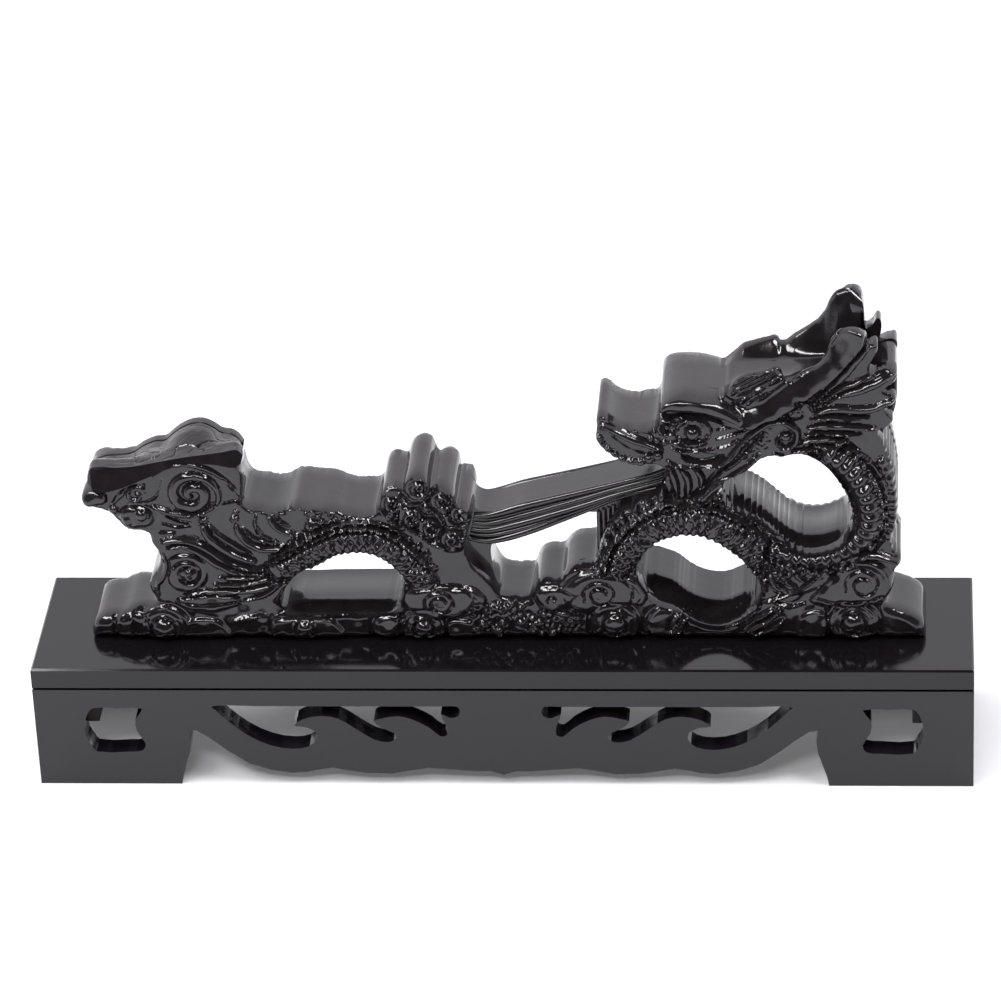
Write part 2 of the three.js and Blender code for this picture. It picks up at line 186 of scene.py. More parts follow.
class Bench:
    """Heights over the face of the plank, on a grid of x and height above the foot."""

    CELL = 0.25

    def __init__(self, low, high):
        self.low = np.array(low, float)
        nx, nh = ((np.array(high) - self.low) / self.CELL).astype(int) + 1
        self.X, self.Z = np.meshgrid(self.low[0] + self.CELL * np.arange(nx),
                                     self.low[1] + self.CELL * np.arange(nh), indexing="ij")
        self.form = np.zeros_like(self.X)
        self.texture = np.zeros_like(self.X)
        self.grooves = np.zeros_like(self.X)

    def patch(self, x, h, reach):
        """The grid cells within `reach` of a place."""
        i = ((np.array([x, h]) - reach - self.low) / self.CELL).astype(int).clip(0)
        j = ((np.array([x, h]) + reach - self.low) / self.CELL).astype(int) + 2
        return slice(i[0], j[0]), slice(i[1], j[1])

    def distance(self, where, x, h):
        return np.hypot(self.X[where] - x, self.Z[where] - h)

    def strand(self, path, width, rise, base=0.0, tip=0.35, trench=0.5):
        """Raise a half-round: height base + rise·sqrt(1 - (distance / radius)²). The radius swells from
        `tip` of the half width at both ends to all of it in the middle. A thin trench is cut along both
        sides."""
        n = len(path)
        swell = tip + (1 - tip) * np.sin(np.pi * np.clip(np.arange(n) / max(1, n - 1), 0, 1)) ** 0.6
        radii = np.maximum(0.35, 0.5 * width * swell)
        if trench:
            for (x, h), r in zip(path[::2], radii[::2]):
                where = self.patch(x, h, r + 0.9)
                d = self.distance(where, x, h)
                cut = np.maximum(base + 0.1 - trench * np.clip((r + 0.9 - d) / 0.9, 0, 1), base - trench)
                self.form[where] = np.where(d < r + 0.9, np.minimum(self.form[where], cut), self.form[where])
        for (x, h), r in zip(path, radii):
            where = self.patch(x, h, r)
            d = self.distance(where, x, h)
            dome = base + rise * min(1, r / (0.3 * width)) * np.sqrt(np.clip(1 - (d / r) ** 2, 0, 1))
            self.form[where] = np.where(d < r, np.maximum(self.form[where], dome), self.form[where])

    def groove(self, path, width, depth):
        """Cut a rounded groove along a path."""
        r = 0.5 * width
        for x, h in path:
            where = self.patch(x, h, r)
            d = self.distance(where, x, h)
            self.grooves[where] = np.maximum(self.grooves[where], depth * np.clip(1 - (d / r) ** 2, 0, 1))

    def bead(self, x, h, r, rise, base=0.0, squash=1.0, tilt_deg=0.0, trench=0.5):
        """A domed oval with a trench round it."""
        where = self.patch(x, h, max(r, r * squash) + 1)
        c, s = math.cos(math.radians(tilt_deg)), math.sin(math.radians(tilt_deg))
        u = (self.X[where] - x) * c + (self.Z[where] - h) * s
        v = (self.Z[where] - h) * c - (self.X[where] - x) * s
        d = np.hypot(u, v / squash) / r
        ring = np.clip(1 - np.abs(d - 1.12) / 0.3, 0, 1)
        self.form[where] = np.where(d < 1.4, np.minimum(self.form[where], self.form[where] - trench * ring),
                                    self.form[where])
        dome = base + rise * np.sqrt(np.clip(1 - d**2, 0, 1))
        self.form[where] = np.where(d < 1, np.maximum(self.form[where], dome), self.form[where])

    def inside(self, outline):
        """Grid window, inside mask and distance to the edge of an outline."""
        p = np.array(outline, float)
        middle = (p.min(0) + p.max(0)) / 2
        reach = float(max(p.max(0) - p.min(0))) / 2 + 1
        where = self.patch(middle[0], middle[1], reach)
        X, Z = self.X[where], self.Z[where]
        mask = np.zeros(X.shape, bool)
        far = np.full(X.shape, 1e3)
        for (x0, z0), (x1, z1) in zip(p, np.roll(p, -1, 0)):
            if z0 != z1:
                mask ^= ((z0 > Z) != (z1 > Z)) & (X < (x1 - x0) * (Z - z0) / (z1 - z0) + x0)
            run = max(1e-9, (x1 - x0) ** 2 + (z1 - z0) ** 2)
            t = np.clip(((X - x0) * (x1 - x0) + (Z - z0) * (z1 - z0)) / run, 0, 1)
            far = np.minimum(far, np.hypot(X - x0 - t * (x1 - x0), Z - z0 - t * (z1 - z0)))
        return where, mask, far

    def plateau(self, outline, level, soft=0.8, closed=True):
        """Raise or sink the ground inside an outline to a level, rounded over `soft` at its edge."""
        path = smooth_path([*outline, outline[0]], 1.0)[:-1] if closed else np.array(outline, float)
        where, mask, far = self.inside(path)
        ease = np.sqrt(np.clip(1 - (1 - np.clip(far / soft, 0, 1)) ** 2, 0, 1))
        current = self.form[where]
        self.form[where] = np.where(mask, current + (level - current) * ease, current)

    def scales(self, spine, half_width, pitch, across, rise, lean=1.0, jitter=0.0, seed=1):
        """Set rows of scales across a band. Each scale is an oval dome that leans along the spine, and every
        second row is shifted by half a scale."""
        draw = np.random.default_rng(seed)
        path = smooth_path(spine, 0.2)
        run = np.concatenate([[0], np.cumsum(np.linalg.norm(np.diff(path, axis=0), axis=1))])
        rows = int(run[-1] / pitch)
        for row in range(rows):
            at = (row + 0.5) * run[-1] / rows
            k = min(len(path) - 2, int(np.searchsorted(run, at)))
            along = path[k + 1] - path[k - 1]
            along = along / np.linalg.norm(along)
            side = np.array([-along[1], along[0]])
            wide = np.interp(at / run[-1], np.linspace(0, 1, len(half_width)), half_width)
            size = 2 * wide / across
            for column in range(across + row % 2):
                off = (column - (across - 1 + row % 2) / 2) * size
                if abs(off) > wide:
                    continue
                place = path[k] + side * off + draw.normal(0, jitter, 2)
                self.punch(place, along, 0.75 * pitch, 0.56 * size, rise, lean)

    def punch(self, place, along, length, width, rise, lean):
        """One scale: rise·(1 - distance²) with its tail end higher than its head."""
        where = self.patch(place[0], place[1], max(length, width) + 0.3)
        dx, dz = self.X[where] - place[0], self.Z[where] - place[1]
        u = (dx * along[0] + dz * along[1]) / length
        v = (dz * along[0] - dx * along[1]) / width
        dome = rise * (1 - u**2 - v**2) + lean * rise * 0.45 * u
        current = self.texture[where]
        self.texture[where] = np.where(u**2 + v**2 < 1, np.maximum(current, dome), current)

    def bar(self, path, width, level, crown, turn):
        """Raise a smooth bar whose face leans: level + crown·(1 - v²) - turn·v, with v from -1 at the
        right-hand edge of the path to 1 at its left-hand edge."""
        middle, reach = (path.min(0) + path.max(0)) / 2, float(np.ptp(path, axis=0).max()) / 2 + width
        where = self.patch(middle[0], middle[1], reach)
        X, Z = self.X[where], self.Z[where]
        best, v = np.full(X.shape, 1e9), np.zeros(X.shape)
        for k in range(2, len(path) - 2, 2):
            along = path[k + 2] - path[k - 2]
            along = along / np.linalg.norm(along)
            dx, dz = X - path[k, 0], Z - path[k, 1]
            gap = np.hypot(dx, dz)
            v = np.where(gap < best, (along[0] * dz - along[1] * dx) / (0.5 * width), v)
            best = np.minimum(gap, best)
        face = level + crown * (1 - v**2) - turn * v
        edge = np.sqrt(np.clip(1 - np.clip(np.abs(v) * 4 - 3, 0, 1) ** 2, 0, 1))
        self.form[where] = np.where(best < 0.5 * width, self.form[where] + (face - self.form[where]) * edge,
                                    self.form[where])

    def hatch(self, outline, angle_deg, pitch, depth):
        """Cut parallel lines inside an outline."""
        where, mask, far = self.inside(outline)
        a = math.radians(angle_deg)
        across = self.Z[where] * math.cos(a) - self.X[where] * math.sin(a)
        lines = depth * (0.5 + 0.5 * np.cos(2 * np.pi * across / pitch)) ** 2
        cut = lines * np.clip(far / 0.8, 0, 1) * mask
        self.grooves[where] = np.maximum(self.grooves[where], cut)

    def stipple(self, outline, pitch, radius, depth, seed=3):
        """Punch small pits in rows inside an outline."""
        draw = np.random.default_rng(seed)
        p = np.array(outline, float)
        where, mask, far = self.inside(outline)
        safe = np.zeros_like(self.form)
        safe[where] = mask * far
        for x in np.arange(p[:, 0].min(), p[:, 0].max(), pitch):
            for h in np.arange(p[:, 1].min(), p[:, 1].max(), pitch):
                px, ph = np.array([x, h]) + draw.normal(0, 0.2 * pitch, 2)
                i, j = ((np.array([px, ph]) - self.low) / self.CELL).astype(int)
                if safe[i, j] > radius:
                    self.groove([(px, ph)], 2 * radius, depth)

    def heights(self, coats=2):
        """Form plus texture minus grooves, blurred a little once for each coat of lacquer."""
        h = self.form + self.texture - self.grooves
        for _ in range(coats):
            for axis in (0, 1):
                h = 0.25 * np.roll(h, 1, axis) + 0.5 * h + 0.25 * np.roll(h, -1, axis)
        return h

    def read(self, sheet, x, h):
        """Values of a sheet at free places, by weighing the four cells around each."""
        u = (x - self.low[0]) / self.CELL
        v = (h - self.low[1]) / self.CELL
        i, j = u.astype(int).clip(0, sheet.shape[0] - 2), v.astype(int).clip(0, sheet.shape[1] - 2)
        a, b = u - i, v - j
        return ((1 - a) * (1 - b) * sheet[i, j] + a * (1 - b) * sheet[i + 1, j]
                + (1 - a) * b * sheet[i, j + 1] + a * b * sheet[i + 1, j + 1])


bench = Bench((-164, -3), (167, 140))
print("bench:", bench.form.shape, "cells")

# %% [markdown]
# ## The snarling head at the left
#
# The little head at the left end has a round nose, a ball in its mouth and one big curl for a cheek. The
# face is nearly flat and most of it is drawn with grooves, so only the nose, the ball and the strands of
# the ruff are raised. Raised forms come first and the grooves are cut last, as a carver works.


# %% Left head and ruff
def carve_left_head(b):
    b.strand(smooth_path([(-155.6, 62.4), (-153, 63.3), (-150.6, 63)]), 7.2, 2.0, 0.1, 0.7)
    b.strand(smooth_path([(-148.6, 66.6), (-143, 68.6), (-137, 71.4), (-131, 74.2)]), 3.0, 0.8)
    b.strand(smooth_path([(-146.5, 60), (-143, 64), (-138, 67.4), (-133, 68.4)]), 2.4, 0.7)
    b.strand(spiral_path(-137, 64, 4.2, 1.2, 30, 1), 1.8, 0.9)
    b.bead(-137.5, 54.6, 6.6, 1.9, 0.0, 0.72, -12)
    b.bead(-141, 53.4, 2.0, 1.0, 0.9)
    b.bead(-135.2, 55.8, 2.2, 1.0, 1.0)
    b.bead(-146.2, 57.6, 1.8, 0.9, 0.1)
    b.strand(smooth_path([(-131, 59.5), (-124, 56.4), (-116, 56), (-109, 58.6), (-106, 61.5)]), 3.4, 1.4)
    b.strand(spiral_path(-115.4, 64.6, 10.4, 1.75, -30, 1, 0.1, 0.9), 4.6, 1.5, 0.0, 0.3)
    b.strand(smooth_path([(-130.5, 72), (-126, 75.6), (-119, 77.4), (-111, 76.2), (-104, 72), (-98.4, 66.4)]),
             2.2, 0.8)
    for path in ([(-134.6, 60.5), (-130, 63), (-127.5, 67), (-127, 71)], [(-103, 71), (-99.4, 66),
                                                                          (-98, 60.5)],
                 [(-128, 51.5), (-122, 50.2), (-117, 50.6)], [(-129, 48), (-123, 47.6)],
                 [(-104, 60.5), (-100, 61.4), (-97.4, 62)], [(-126, 55), (-121, 52.6), (-116.6, 51.6)]):
        b.groove(smooth_path(path), 1.1, 0.8)


def carve_ruff(b):
    """Feather strands that sweep from the neck down and back along the body."""
    b.bead(-112, 52.4, 2.0, 1.3)
    b.bead(-100, 53.4, 1.7, 1.2)
    b.bead(-99.3, 56.6, 1.3, 1.0)
    strands = (
        ([(-112.4, 50.6), (-110.5, 46), (-106, 41.4), (-100, 37.6), (-93.4, 35)], 4.6, 1.8),
        ([(-110.2, 51), (-106.8, 46.8), (-101.4, 42.4), (-94.6, 38)], 2.6, 1.3),
        ([(-129, 43.6), (-122, 44.4), (-115, 42.6), (-109, 38), (-103, 33.6), (-95, 31.2), (-87, 31.4)], 4.4,
         1.9),
        ([(-127, 40.6), (-120, 41.4), (-113.6, 38), (-108, 33.6), (-101, 30), (-92, 28.8), (-84, 30.4)], 3.2,
         1.3),
        ([(-99.6, 51.4), (-98.6, 47), (-95, 43), (-90, 40.4), (-84, 40.6), (-78, 43)], 3.4, 1.6),
        ([(-97, 49.6), (-94, 46), (-89.6, 43.6), (-84, 43.6)], 2.0, 1.2),
        ([(-91.4, 56), (-92.4, 51.4), (-90.4, 47), (-86, 44.2)], 1.6, 0.9),
        ([(-87, 55.2), (-85.4, 51.4), (-81.4, 48), (-75.6, 46.4)], 2.6, 1.5),
        ([(-84.6, 55.4), (-82.4, 52.6), (-79, 50.4)], 1.6, 1.1),
        ([(-81, 56.6), (-78, 58), (-74, 57.6), (-72, 55)], 1.6, 0.9),
        ([(-75.4, 58.4), (-71, 57.4), (-66, 57), (-61, 56)], 1.6, 0.9),
    )
    for path, width, rise in strands:
        b.strand(smooth_path(path), width, rise)
    b.bead(-70, 50, 3.4, 1.0, 0.2)
    for x, h in ((-66.5, 52.6), (-64, 51.4), (-61.6, 53), (-59.4, 51.6), (-57, 53.2), (-54.4, 52.2),
                 (-51.6, 53.4), (-48.6, 52.6), (-68, 54.6), (-63, 55)):
        b.bead(x, h, 1.25, 1.0, 0.1, trench=0.3)


def carve_lower_left(b):
    """The round curl under the ruff and the long strands that run from it into the body."""
    b.plateau([(-128, 30.5), (-126.5, 36), (-120, 38), (-113.5, 35.5), (-112, 29), (-115, 23.5), (-121, 21.5),
               (-126.5, 24.5)], 0.9, 1.2)
    b.groove(spiral_path(-119.6, 29.4, 6.0, 1.6, 150, -1, 0.2), 1.2, 1.0)
    b.bead(-118.4, 29, 3.0, 0.9, 0.6)
    b.plateau([(-127.5, 16.6), (-121, 13.6), (-113, 12.4), (-106, 13.6), (-99, 17), (-104, 19.6),
               (-114, 20.2), (-122, 19)], 0.8, 1.4)
    for path, width, rise in (
            ([(-122, 19.6), (-113, 21.4), (-102, 21.4), (-92, 22.4), (-85, 25), (-78, 30.6), (-71, 35)], 3.0,
             1.4),
            ([(-110, 24.6), (-102, 24.4), (-94, 25.4), (-87, 28), (-80, 33)], 2.4, 1.3),
            ([(-108, 27.6), (-100, 27.2), (-93, 28)], 2.0, 1.0),
            ([(-99, 17.2), (-92, 19.2), (-87, 22.4), (-83, 26.4)], 2.2, 1.1),
            ([(-131.4, 19.6), (-131.8, 24), (-129, 28.6), (-127.8, 33), (-128.4, 38)], 2.2, 1.0)):
        b.strand(smooth_path(path), width, rise)
    b.groove(smooth_path([(-126, 17), (-116, 15.4), (-106, 16), (-100, 17.4)]), 0.9, 0.6)


carve_left_head(bench)
carve_ruff(bench)
carve_lower_left(bench)
print("left head carved, from", round(float(bench.form.min()), 2), "to", round(float(bench.form.max()), 2))

# %% [markdown]
# ## The looped body and its scales
#
# The body is a rope that rises over two arches and then loops behind the head. First a wide half-round
# gives it its roundness, then a fin and bead line run along its back, and scales are punched row by row. On
# the last loop the belly shows, so its plates are long and lie across.

# %% Arches and neck loop
ARCH_ONE = [(-84, 31), (-76, 37.6), (-68, 42.4), (-60, 44.8), (-52, 45), (-45, 43), (-39, 39), (-33.6, 33),
            (-29, 26)]
ARCH_TWO = [(42.5, 30.6), (46.4, 37.6), (51.4, 44), (58, 49.4), (66, 52.6), (75, 53), (83, 50.8), (91, 46),
            (98, 39.6), (104, 33.6), (108, 27)]
NECK_LOOP = [(107, 39.6), (114, 35.8), (122, 35.2), (131, 38.6), (138.4, 45.4), (141.8, 54), (140.6, 64),
             (136.4, 73), (130.6, 80), (124.6, 84.6)]


def carve_body(b):
    b.strand(smooth_path(ARCH_ONE), 13.5, 2.6, -1.0, 0.75, 0.3)
    b.strand(smooth_path(ARCH_TWO), 14.0, 2.8, -1.0, 0.8, 0.3)
    b.strand(smooth_path(NECK_LOOP), 13.0, 3.0, -1.1, 0.8, 0.3)
    b.scales(ARCH_ONE, [4.6, 5.6, 6.0, 6.0, 5.8, 5.4], 1.7, 2, 1.3, 1.3, 0.3, 4)
    b.scales(ARCH_TWO, [5.6, 6.2, 6.4, 6.4, 6.4, 5.8], 1.8, 2, 1.4, -1.3, 0.3, 5)
    neck = smooth_path(NECK_LOOP, 0.2)
    for k in range(10, len(neck) - 8, 20):
        along = neck[k + 4] - neck[k - 4]
        along = along / np.linalg.norm(along)
        side = np.array([-along[1], along[0]])
        b.punch(neck[k] + 1.6 * side, along, 2.9, 4.8, 2.7, 0.7)
        b.punch(neck[k] - 4.6 * side, along, 1.9, 1.7, 1.7, 1.0)
    edges = (
        ([(-90, 33.6), (-82, 37.6), (-74, 42.6), (-66, 46.8), (-58, 49.6), (-50, 49.8), (-43, 48),
          (-36.6, 43.6), (-31, 38), (-26, 31.4), (-23, 26.6)], 1.7, 1.4),
        ([(-88, 36.6), (-79, 41.2), (-70, 46.8), (-62, 51), (-54, 52.4), (-46, 52), (-39, 49), (-32.4, 44)],
         1.5, 1.2),
        ([(39.6, 32), (42, 39.6), (46.6, 46.6), (52.6, 52.6), (60, 57.2), (68, 59), (77, 59), (85, 57),
          (93, 52.6), (101, 46.8), (109, 42.4)], 1.8, 1.5),
        ([(78, 62.4), (86, 60), (94, 55.6), (102, 49.8), (110, 44.6), (117, 41)], 1.7, 1.5),
        ([(84, 62.6), (92, 58.8), (100, 53.4), (108, 47.4)], 1.4, 1.2),
        ([(110, 43.6), (118, 40.8), (126, 42.2), (132.2, 47), (134.8, 54), (133.4, 62), (129.8, 69.4),
          (124.6, 76.6), (118, 81.4)], 1.3, 0.9),
        ([(126.6, 86), (134, 83.8), (140, 79.6), (144.4, 73.4), (147, 66.4), (148, 58), (147, 49.6),
          (142.6, 43)],
         1.6, 1.2),
    )
    for path, width, rise in edges:
        b.strand(smooth_path(path), width, rise, 0.1)
    for x, h, r in ((-28, 36.6, 1.5), (-25.6, 32.8, 1.4), (-34.6, 41.2, 1.3), (-31.4, 38.6, 1.3),
                    (-37.6, 45.6, 1.4), (-41.8, 47.6, 1.3), (-30, 41.8, 1.2), (-27, 38.4, 1.1)):
        b.bead(x, h, r, 1.1, 0.3, trench=0.3)
    fin = smooth_path([(145.4, 77.6), (148.6, 69), (149.8, 60), (149.4, 51.6), (147.4, 45)])
    for x, h in fin[::int(len(fin) / 9)]:
        b.bead(x, h, 1.9, 1.3, 0.2, 1.25, 10, 0.4)
    for x, h, r in ((127, 85.6, 3.2), (132.8, 82.6, 1.6), (96, 49.4, 1.4), (99.4, 46.6, 1.4), (106, 50, 1.3),
                    (113.6, 42.2, 1.5), (90.4, 60, 1.2), (94.6, 57.6, 1.2)):
        b.bead(x, h, r, 1.4, 0.4)


def carve_haunch(b):
    """The hind leg right of the second arch: flames of hair, a shin, and a paw with claws on the base."""
    b.plateau([(99.6, 30), (104, 22), (112, 20.4), (121, 23), (126, 30), (123, 36), (113, 36.4), (106, 36.8)],
              0.5, 2.0)
    for path, width, rise in (
            ([(104, 36.4), (102.6, 31), (104.6, 26), (109, 22.6)], 2.4, 1.3),
            ([(108.6, 35.6), (107, 31), (109, 26.4), (113.6, 23.6)], 2.4, 1.3),
            ([(113.4, 35.4), (112, 31.4), (114, 27.6), (118, 25.4)], 2.2, 1.2),
            ([(118.4, 35.8), (117, 32.6), (119, 29.6), (123, 28)], 2.0, 1.1),
            ([(126.6, 35.8), (121, 28.6), (114, 22.6), (106, 18.8), (99, 16)], 1.8, 1.2),
            ([(101, 36), (100.6, 28), (101.6, 22)], 1.5, 0.9),
            ([(93.6, 4), (98, 6.4), (103, 10), (107, 13.8)], 2.8, 1.6),
            ([(94, 8), (99, 10.4), (104, 14)], 2.2, 1.4),
            ([(96, 2.6), (102, 4.8), (107.6, 9)], 2.2, 1.4),
            ([(85, 5.6), (91, 7.8), (96.6, 12), (100.4, 17.6)], 1.6, 1.0)):
        b.strand(smooth_path(path), width, rise, 0.3)


carve_body(bench)
carve_haunch(bench)
print("scales and fins, highest", round(float((bench.form + bench.texture).max()), 2), "mm")

# %% [markdown]
# ## Clouds, plume and the row along the base
#
# Chinese clouds are lens shapes with a spiral in them. Each one here is a low plateau with a rounded rim
# and a spiral groove. The plume is a bunch of seven curls. The base row alternates discs with a boss and
# plain tiles.


# %% Clouds and plume
def carve_lens_cloud(b, outline, eye, turns, level=1.5):
    """A plateau, a rim line just inside its edge, and a spiral round its eye."""
    b.plateau(outline, 0.7, 0.8)
    b.plateau(outline, level + 0.7, 4.6)
    middle = np.array(outline).mean(0)
    rim = smooth_path([*(middle + 0.86 * (np.array(outline) - middle)),
                       middle + 0.86 * (np.array(outline[0]) - middle)])
    b.groove(rim[len(rim) // 10:int(0.55 * len(rim))], 0.8, 0.5)
    b.groove(spiral_path(*eye, turns, 200, -1, 0.36), 1.0, 1.1)
    b.bead(eye[0], eye[1], 0.3 * eye[2], 0.7, level - 0.2, trench=0.2)


def carve_clouds(b):
    carve_lens_cloud(b, [(-38.2, 18.2), (-36, 22), (-32, 24), (-22, 24.6), (-13, 24), (-8, 21.4),
                         (-5.4, 17.6), (-9, 13.2), (-16, 10), (-24, 9.2), (-31, 10.8), (-36, 13.6)],
                     (-23, 17.2, 6.2), 1.5)
    b.groove(smooth_path([(-13, 24), (-10.6, 19), (-12, 13.6), (-16, 10.6)]), 0.9, 0.8)
    carve_lens_cloud(b, [(12.6, 18), (13, 21.6), (17, 23.6), (24, 23.4), (29, 21), (28, 15.4), (22, 13),
                         (16, 14)],
                     (20, 18.4, 2.0), 0.6, 0.9)
    carve_lens_cloud(b, [(22.6, 20.6), (25, 25), (31, 29.6), (38, 31.2), (46, 29.6), (52.6, 26.4),
                         (56.4, 20.6), (54, 16.2), (48, 14.8), (42, 12.2), (36, 11), (30, 13), (25, 16.6)],
                     (38.4, 21, 6.6), 1.5)
    b.groove(smooth_path([(47.6, 28.4), (50.6, 23), (49.6, 17.4), (45, 13.6)]), 0.9, 0.8)
    carve_lens_cloud(b, [(117.6, 18), (122, 23.6), (127, 29), (131, 34), (139, 35.6), (146.4, 32.6),
                         (149.4, 25.6), (147.6, 19.4), (141, 15.6), (130, 14.6), (122, 15.4)],
                     (138.4, 25.8, 7.2), 1.4)
    b.strand(smooth_path([(129, 33.6), (134.6, 37.6), (143, 37.4), (151.2, 35)]), 3.4, 1.7, 0.5, 0.5)
    b.groove(smooth_path([(121, 19.6), (129, 17.4), (138, 17.6), (145.6, 20.6)]), 0.9, 0.7)


def carve_plume(b):
    b.plateau([(-44, 56), (-43.6, 64), (-36, 66), (-33, 72), (-26, 72), (-24, 67), (-16, 66.6), (-14, 59),
               (-10, 58), (-10.4, 50), (-12.6, 42), (-17, 40), (-22, 42.6), (-30, 48.6), (-38, 53)], 0.6, 1.4)
    curls = ((-39.4, 60.4, 4.8), (-29, 67.4, 5.2), (-20, 61.8, 4.8), (-13.8, 56, 3.6), (-32.6, 54.6, 4.6),
             (-25.4, 49.6, 4.4), (-17.4, 44.8, 4.2))
    for x, h, r in curls:
        b.bead(x, h, r * 1.06, 1.2, 0.2, trench=1.1)
        b.strand(spiral_path(x + 0.2, h, 0.86 * r, 1.5, 110, -1, 0.16), 1.9, 1.2, 0.7, 0.5, 0.5)
    for path in ([(-44, 57.6), (-40, 52.6), (-36, 49.6)], [(-37.4, 52.4), (-31.6, 47.6), (-27, 44.6)],
                 [(-29.6, 46), (-24.6, 42.6), (-20, 40.6)], [(-28, 60.4), (-23, 56), (-20.6, 51.4)],
                 [(-35.6, 61.6), (-33, 60), (-29, 60)]):
        b.strand(smooth_path(path), 1.7, 1.1, 0.1)
    for x, h in ((-12.8, 50.4), (-12, 47.6), (-13, 44.8), (-14.6, 42.4), (-17.2, 40.8), (-40.2, 55.8)):
        b.bead(x, h, 1.5, 1.3, 0.4, trench=0.4)


def carve_base(b):
    """The row along the foot: discs with bosses, tiles, leaves and rough rocks."""
    discs = ((-141.5, 5.4, 7.6, 0), (-130.5, 4.6, 10.6, 4.6), (-43.6, 5, 6.2, 0), (-30, 5.2, 8.4, 3.7),
             (62.6, 7, 7.4, 0), (43.4, 7, 9.4, 4.3), (134.6, 7.4, 9.6, 4.3))
    for x, h, r, boss in discs:
        b.bead(x, h, r, 1.0, 0.2, 0.94, 0, 1.0)
        b.groove(ring_path(x, h, 0.8 * r), 0.8, 0.4)
        if boss:
            b.strand(ring_path(x, h, boss + 1.1), 1.2, 0.8, 0.9, 1.0, 0.3)
            b.bead(x, h, boss, 2.0, 0.6)
    tiles = (
        [(-121.6, 0.6), (-121, 8), (-116, 9.6), (-109, 8.6), (-105.6, 4), (-105.6, 0.6)],
        [(-88.6, 0.6), (-88.6, 6), (-85, 9), (-68, 9.2), (-63.4, 7), (-62.6, 0.6)],
        [(-20.6, 0.8), (-20.6, 8), (-11.6, 8), (-11.6, 0.8)],
        [(113, 1), (113.6, 9), (118, 12.6), (123.6, 12), (124.6, 4), (122, 1)],
    )
    for tile in tiles:
        b.plateau(tile, 1.0, 1.0)
    b.strand(ring_path(-76, 4.8, 4.4), 1.1, 0.8, 0.9, 1.0, 0.3)
    b.bead(-76, 4.8, 3.5, 1.9, 0.6)
    for path, width in (([(64.6, 5), (66.4, 9.4), (70.6, 12.6)], 2.2), ([(68, 4.6), (70, 8.6), (74, 11)],
                                                                        2.0),
                        ([(-104, 8.6), (-97, 10.2), (-90, 10.8)], 1.6), ([(-87, 10.6), (-64, 11),
                                                                          (-44, 12.6)], 1.6),
                        ([(104, 17), (110, 15), (116, 16.6)], 1.6)):
        b.strand(smooth_path(path), width, 1.1, 0.2)
    draw = np.random.default_rng(12)
    for _ in range(70):
        x = draw.uniform(-12, 29)
        low, high = (1.5, 16 if x < 12 else 12.4)
        b.bead(x, draw.uniform(low, high), draw.uniform(1.2, 2.4), draw.uniform(0.8, 1.7), 0.0,
               draw.uniform(0.5, 1.0), draw.uniform(0, 180), 0.5)


carve_clouds(bench)
carve_plume(bench)
carve_base(bench)
print("clouds, plume and base row carved")

# %% [markdown]
# ## The dragon's head at the right
#
# This head carries the finest work: a long lip with a scalloped ruff under it, a small nose ring, a domed
# eye under a heavy brow, a cheek curl, hatched ears, a stippled leaf behind the jaw and seven locks of
# mane. The horn is one smooth swollen strand. The mouth is cut deep so that it stays dark.


# %% Right head
def carve_muzzle(b):
    b.plateau([(41, 95), (44, 90), (50, 84.6), (57, 81.4), (63, 80.6), (64, 85), (57, 88.6), (50, 92),
               (45, 96)],
              -0.6, 1.6)
    b.strand(smooth_path([(40.6, 95), (44, 92.4), (50, 89.2), (57, 86), (63.6, 83.6)]), 3.0, 1.3)
    b.strand(smooth_path([(45.6, 98.6), (50, 95), (55.6, 92.2), (61, 91)]), 2.2, 0.9)
    for x, h in ((39.6, 88.6), (40.4, 85.8), (42.6, 83.4), (45.2, 81.2), (48.2, 79.4), (51.6, 78.2),
                 (55, 78.2), (58.4, 79.6), (61.6, 80.8)):
        b.bead(x, h, 1.9, 1.3, 0.1, trench=0.4)
    b.strand(ring_path(65.4, 93.4, 3.1), 1.8, 1.3, 0.2, 1.0)
    b.bead(65.4, 93.4, 1.3, 0.9, 0.2)
    for x, h, r in ((59.2, 88.4, 1.3), (61.6, 87.4, 1.3), (64.2, 86.6, 1.3), (66.8, 86.4, 1.2),
                    (57.4, 95.6, 1.6), (60.6, 96.8, 1.4), (54.6, 98.4, 1.3)):
        b.bead(x, h, r, 1.1, 0.1, trench=0.3)
    b.plateau([(70, 80.6), (73, 78), (78, 76.8), (84, 78.2), (86.6, 81), (80, 81.6), (74, 82.2)], -3.0, 1.4)
    b.strand(smooth_path([(65, 79), (69, 76.2), (75, 75), (82, 75.6), (88, 78.4), (92.6, 82.6)]), 2.4, 1.5,
             0.1)
    b.strand(smooth_path([(66.6, 84.4), (71, 82.6), (77, 82.8), (83, 83.8)]), 1.8, 1.0)
    b.bead(71, 86, 3.8, 1.0, 0.2, 0.5, 8)
    b.strand(smooth_path([(84, 91.8), (89, 93.4), (96, 95.4)]), 1.3, 1.0)
    b.strand(smooth_path([(83.4, 87.8), (89, 89.6), (95, 91.8)]), 1.3, 1.0)
    b.strand(smooth_path([(84, 84), (88.6, 85.6), (92, 88)]), 1.2, 0.9)


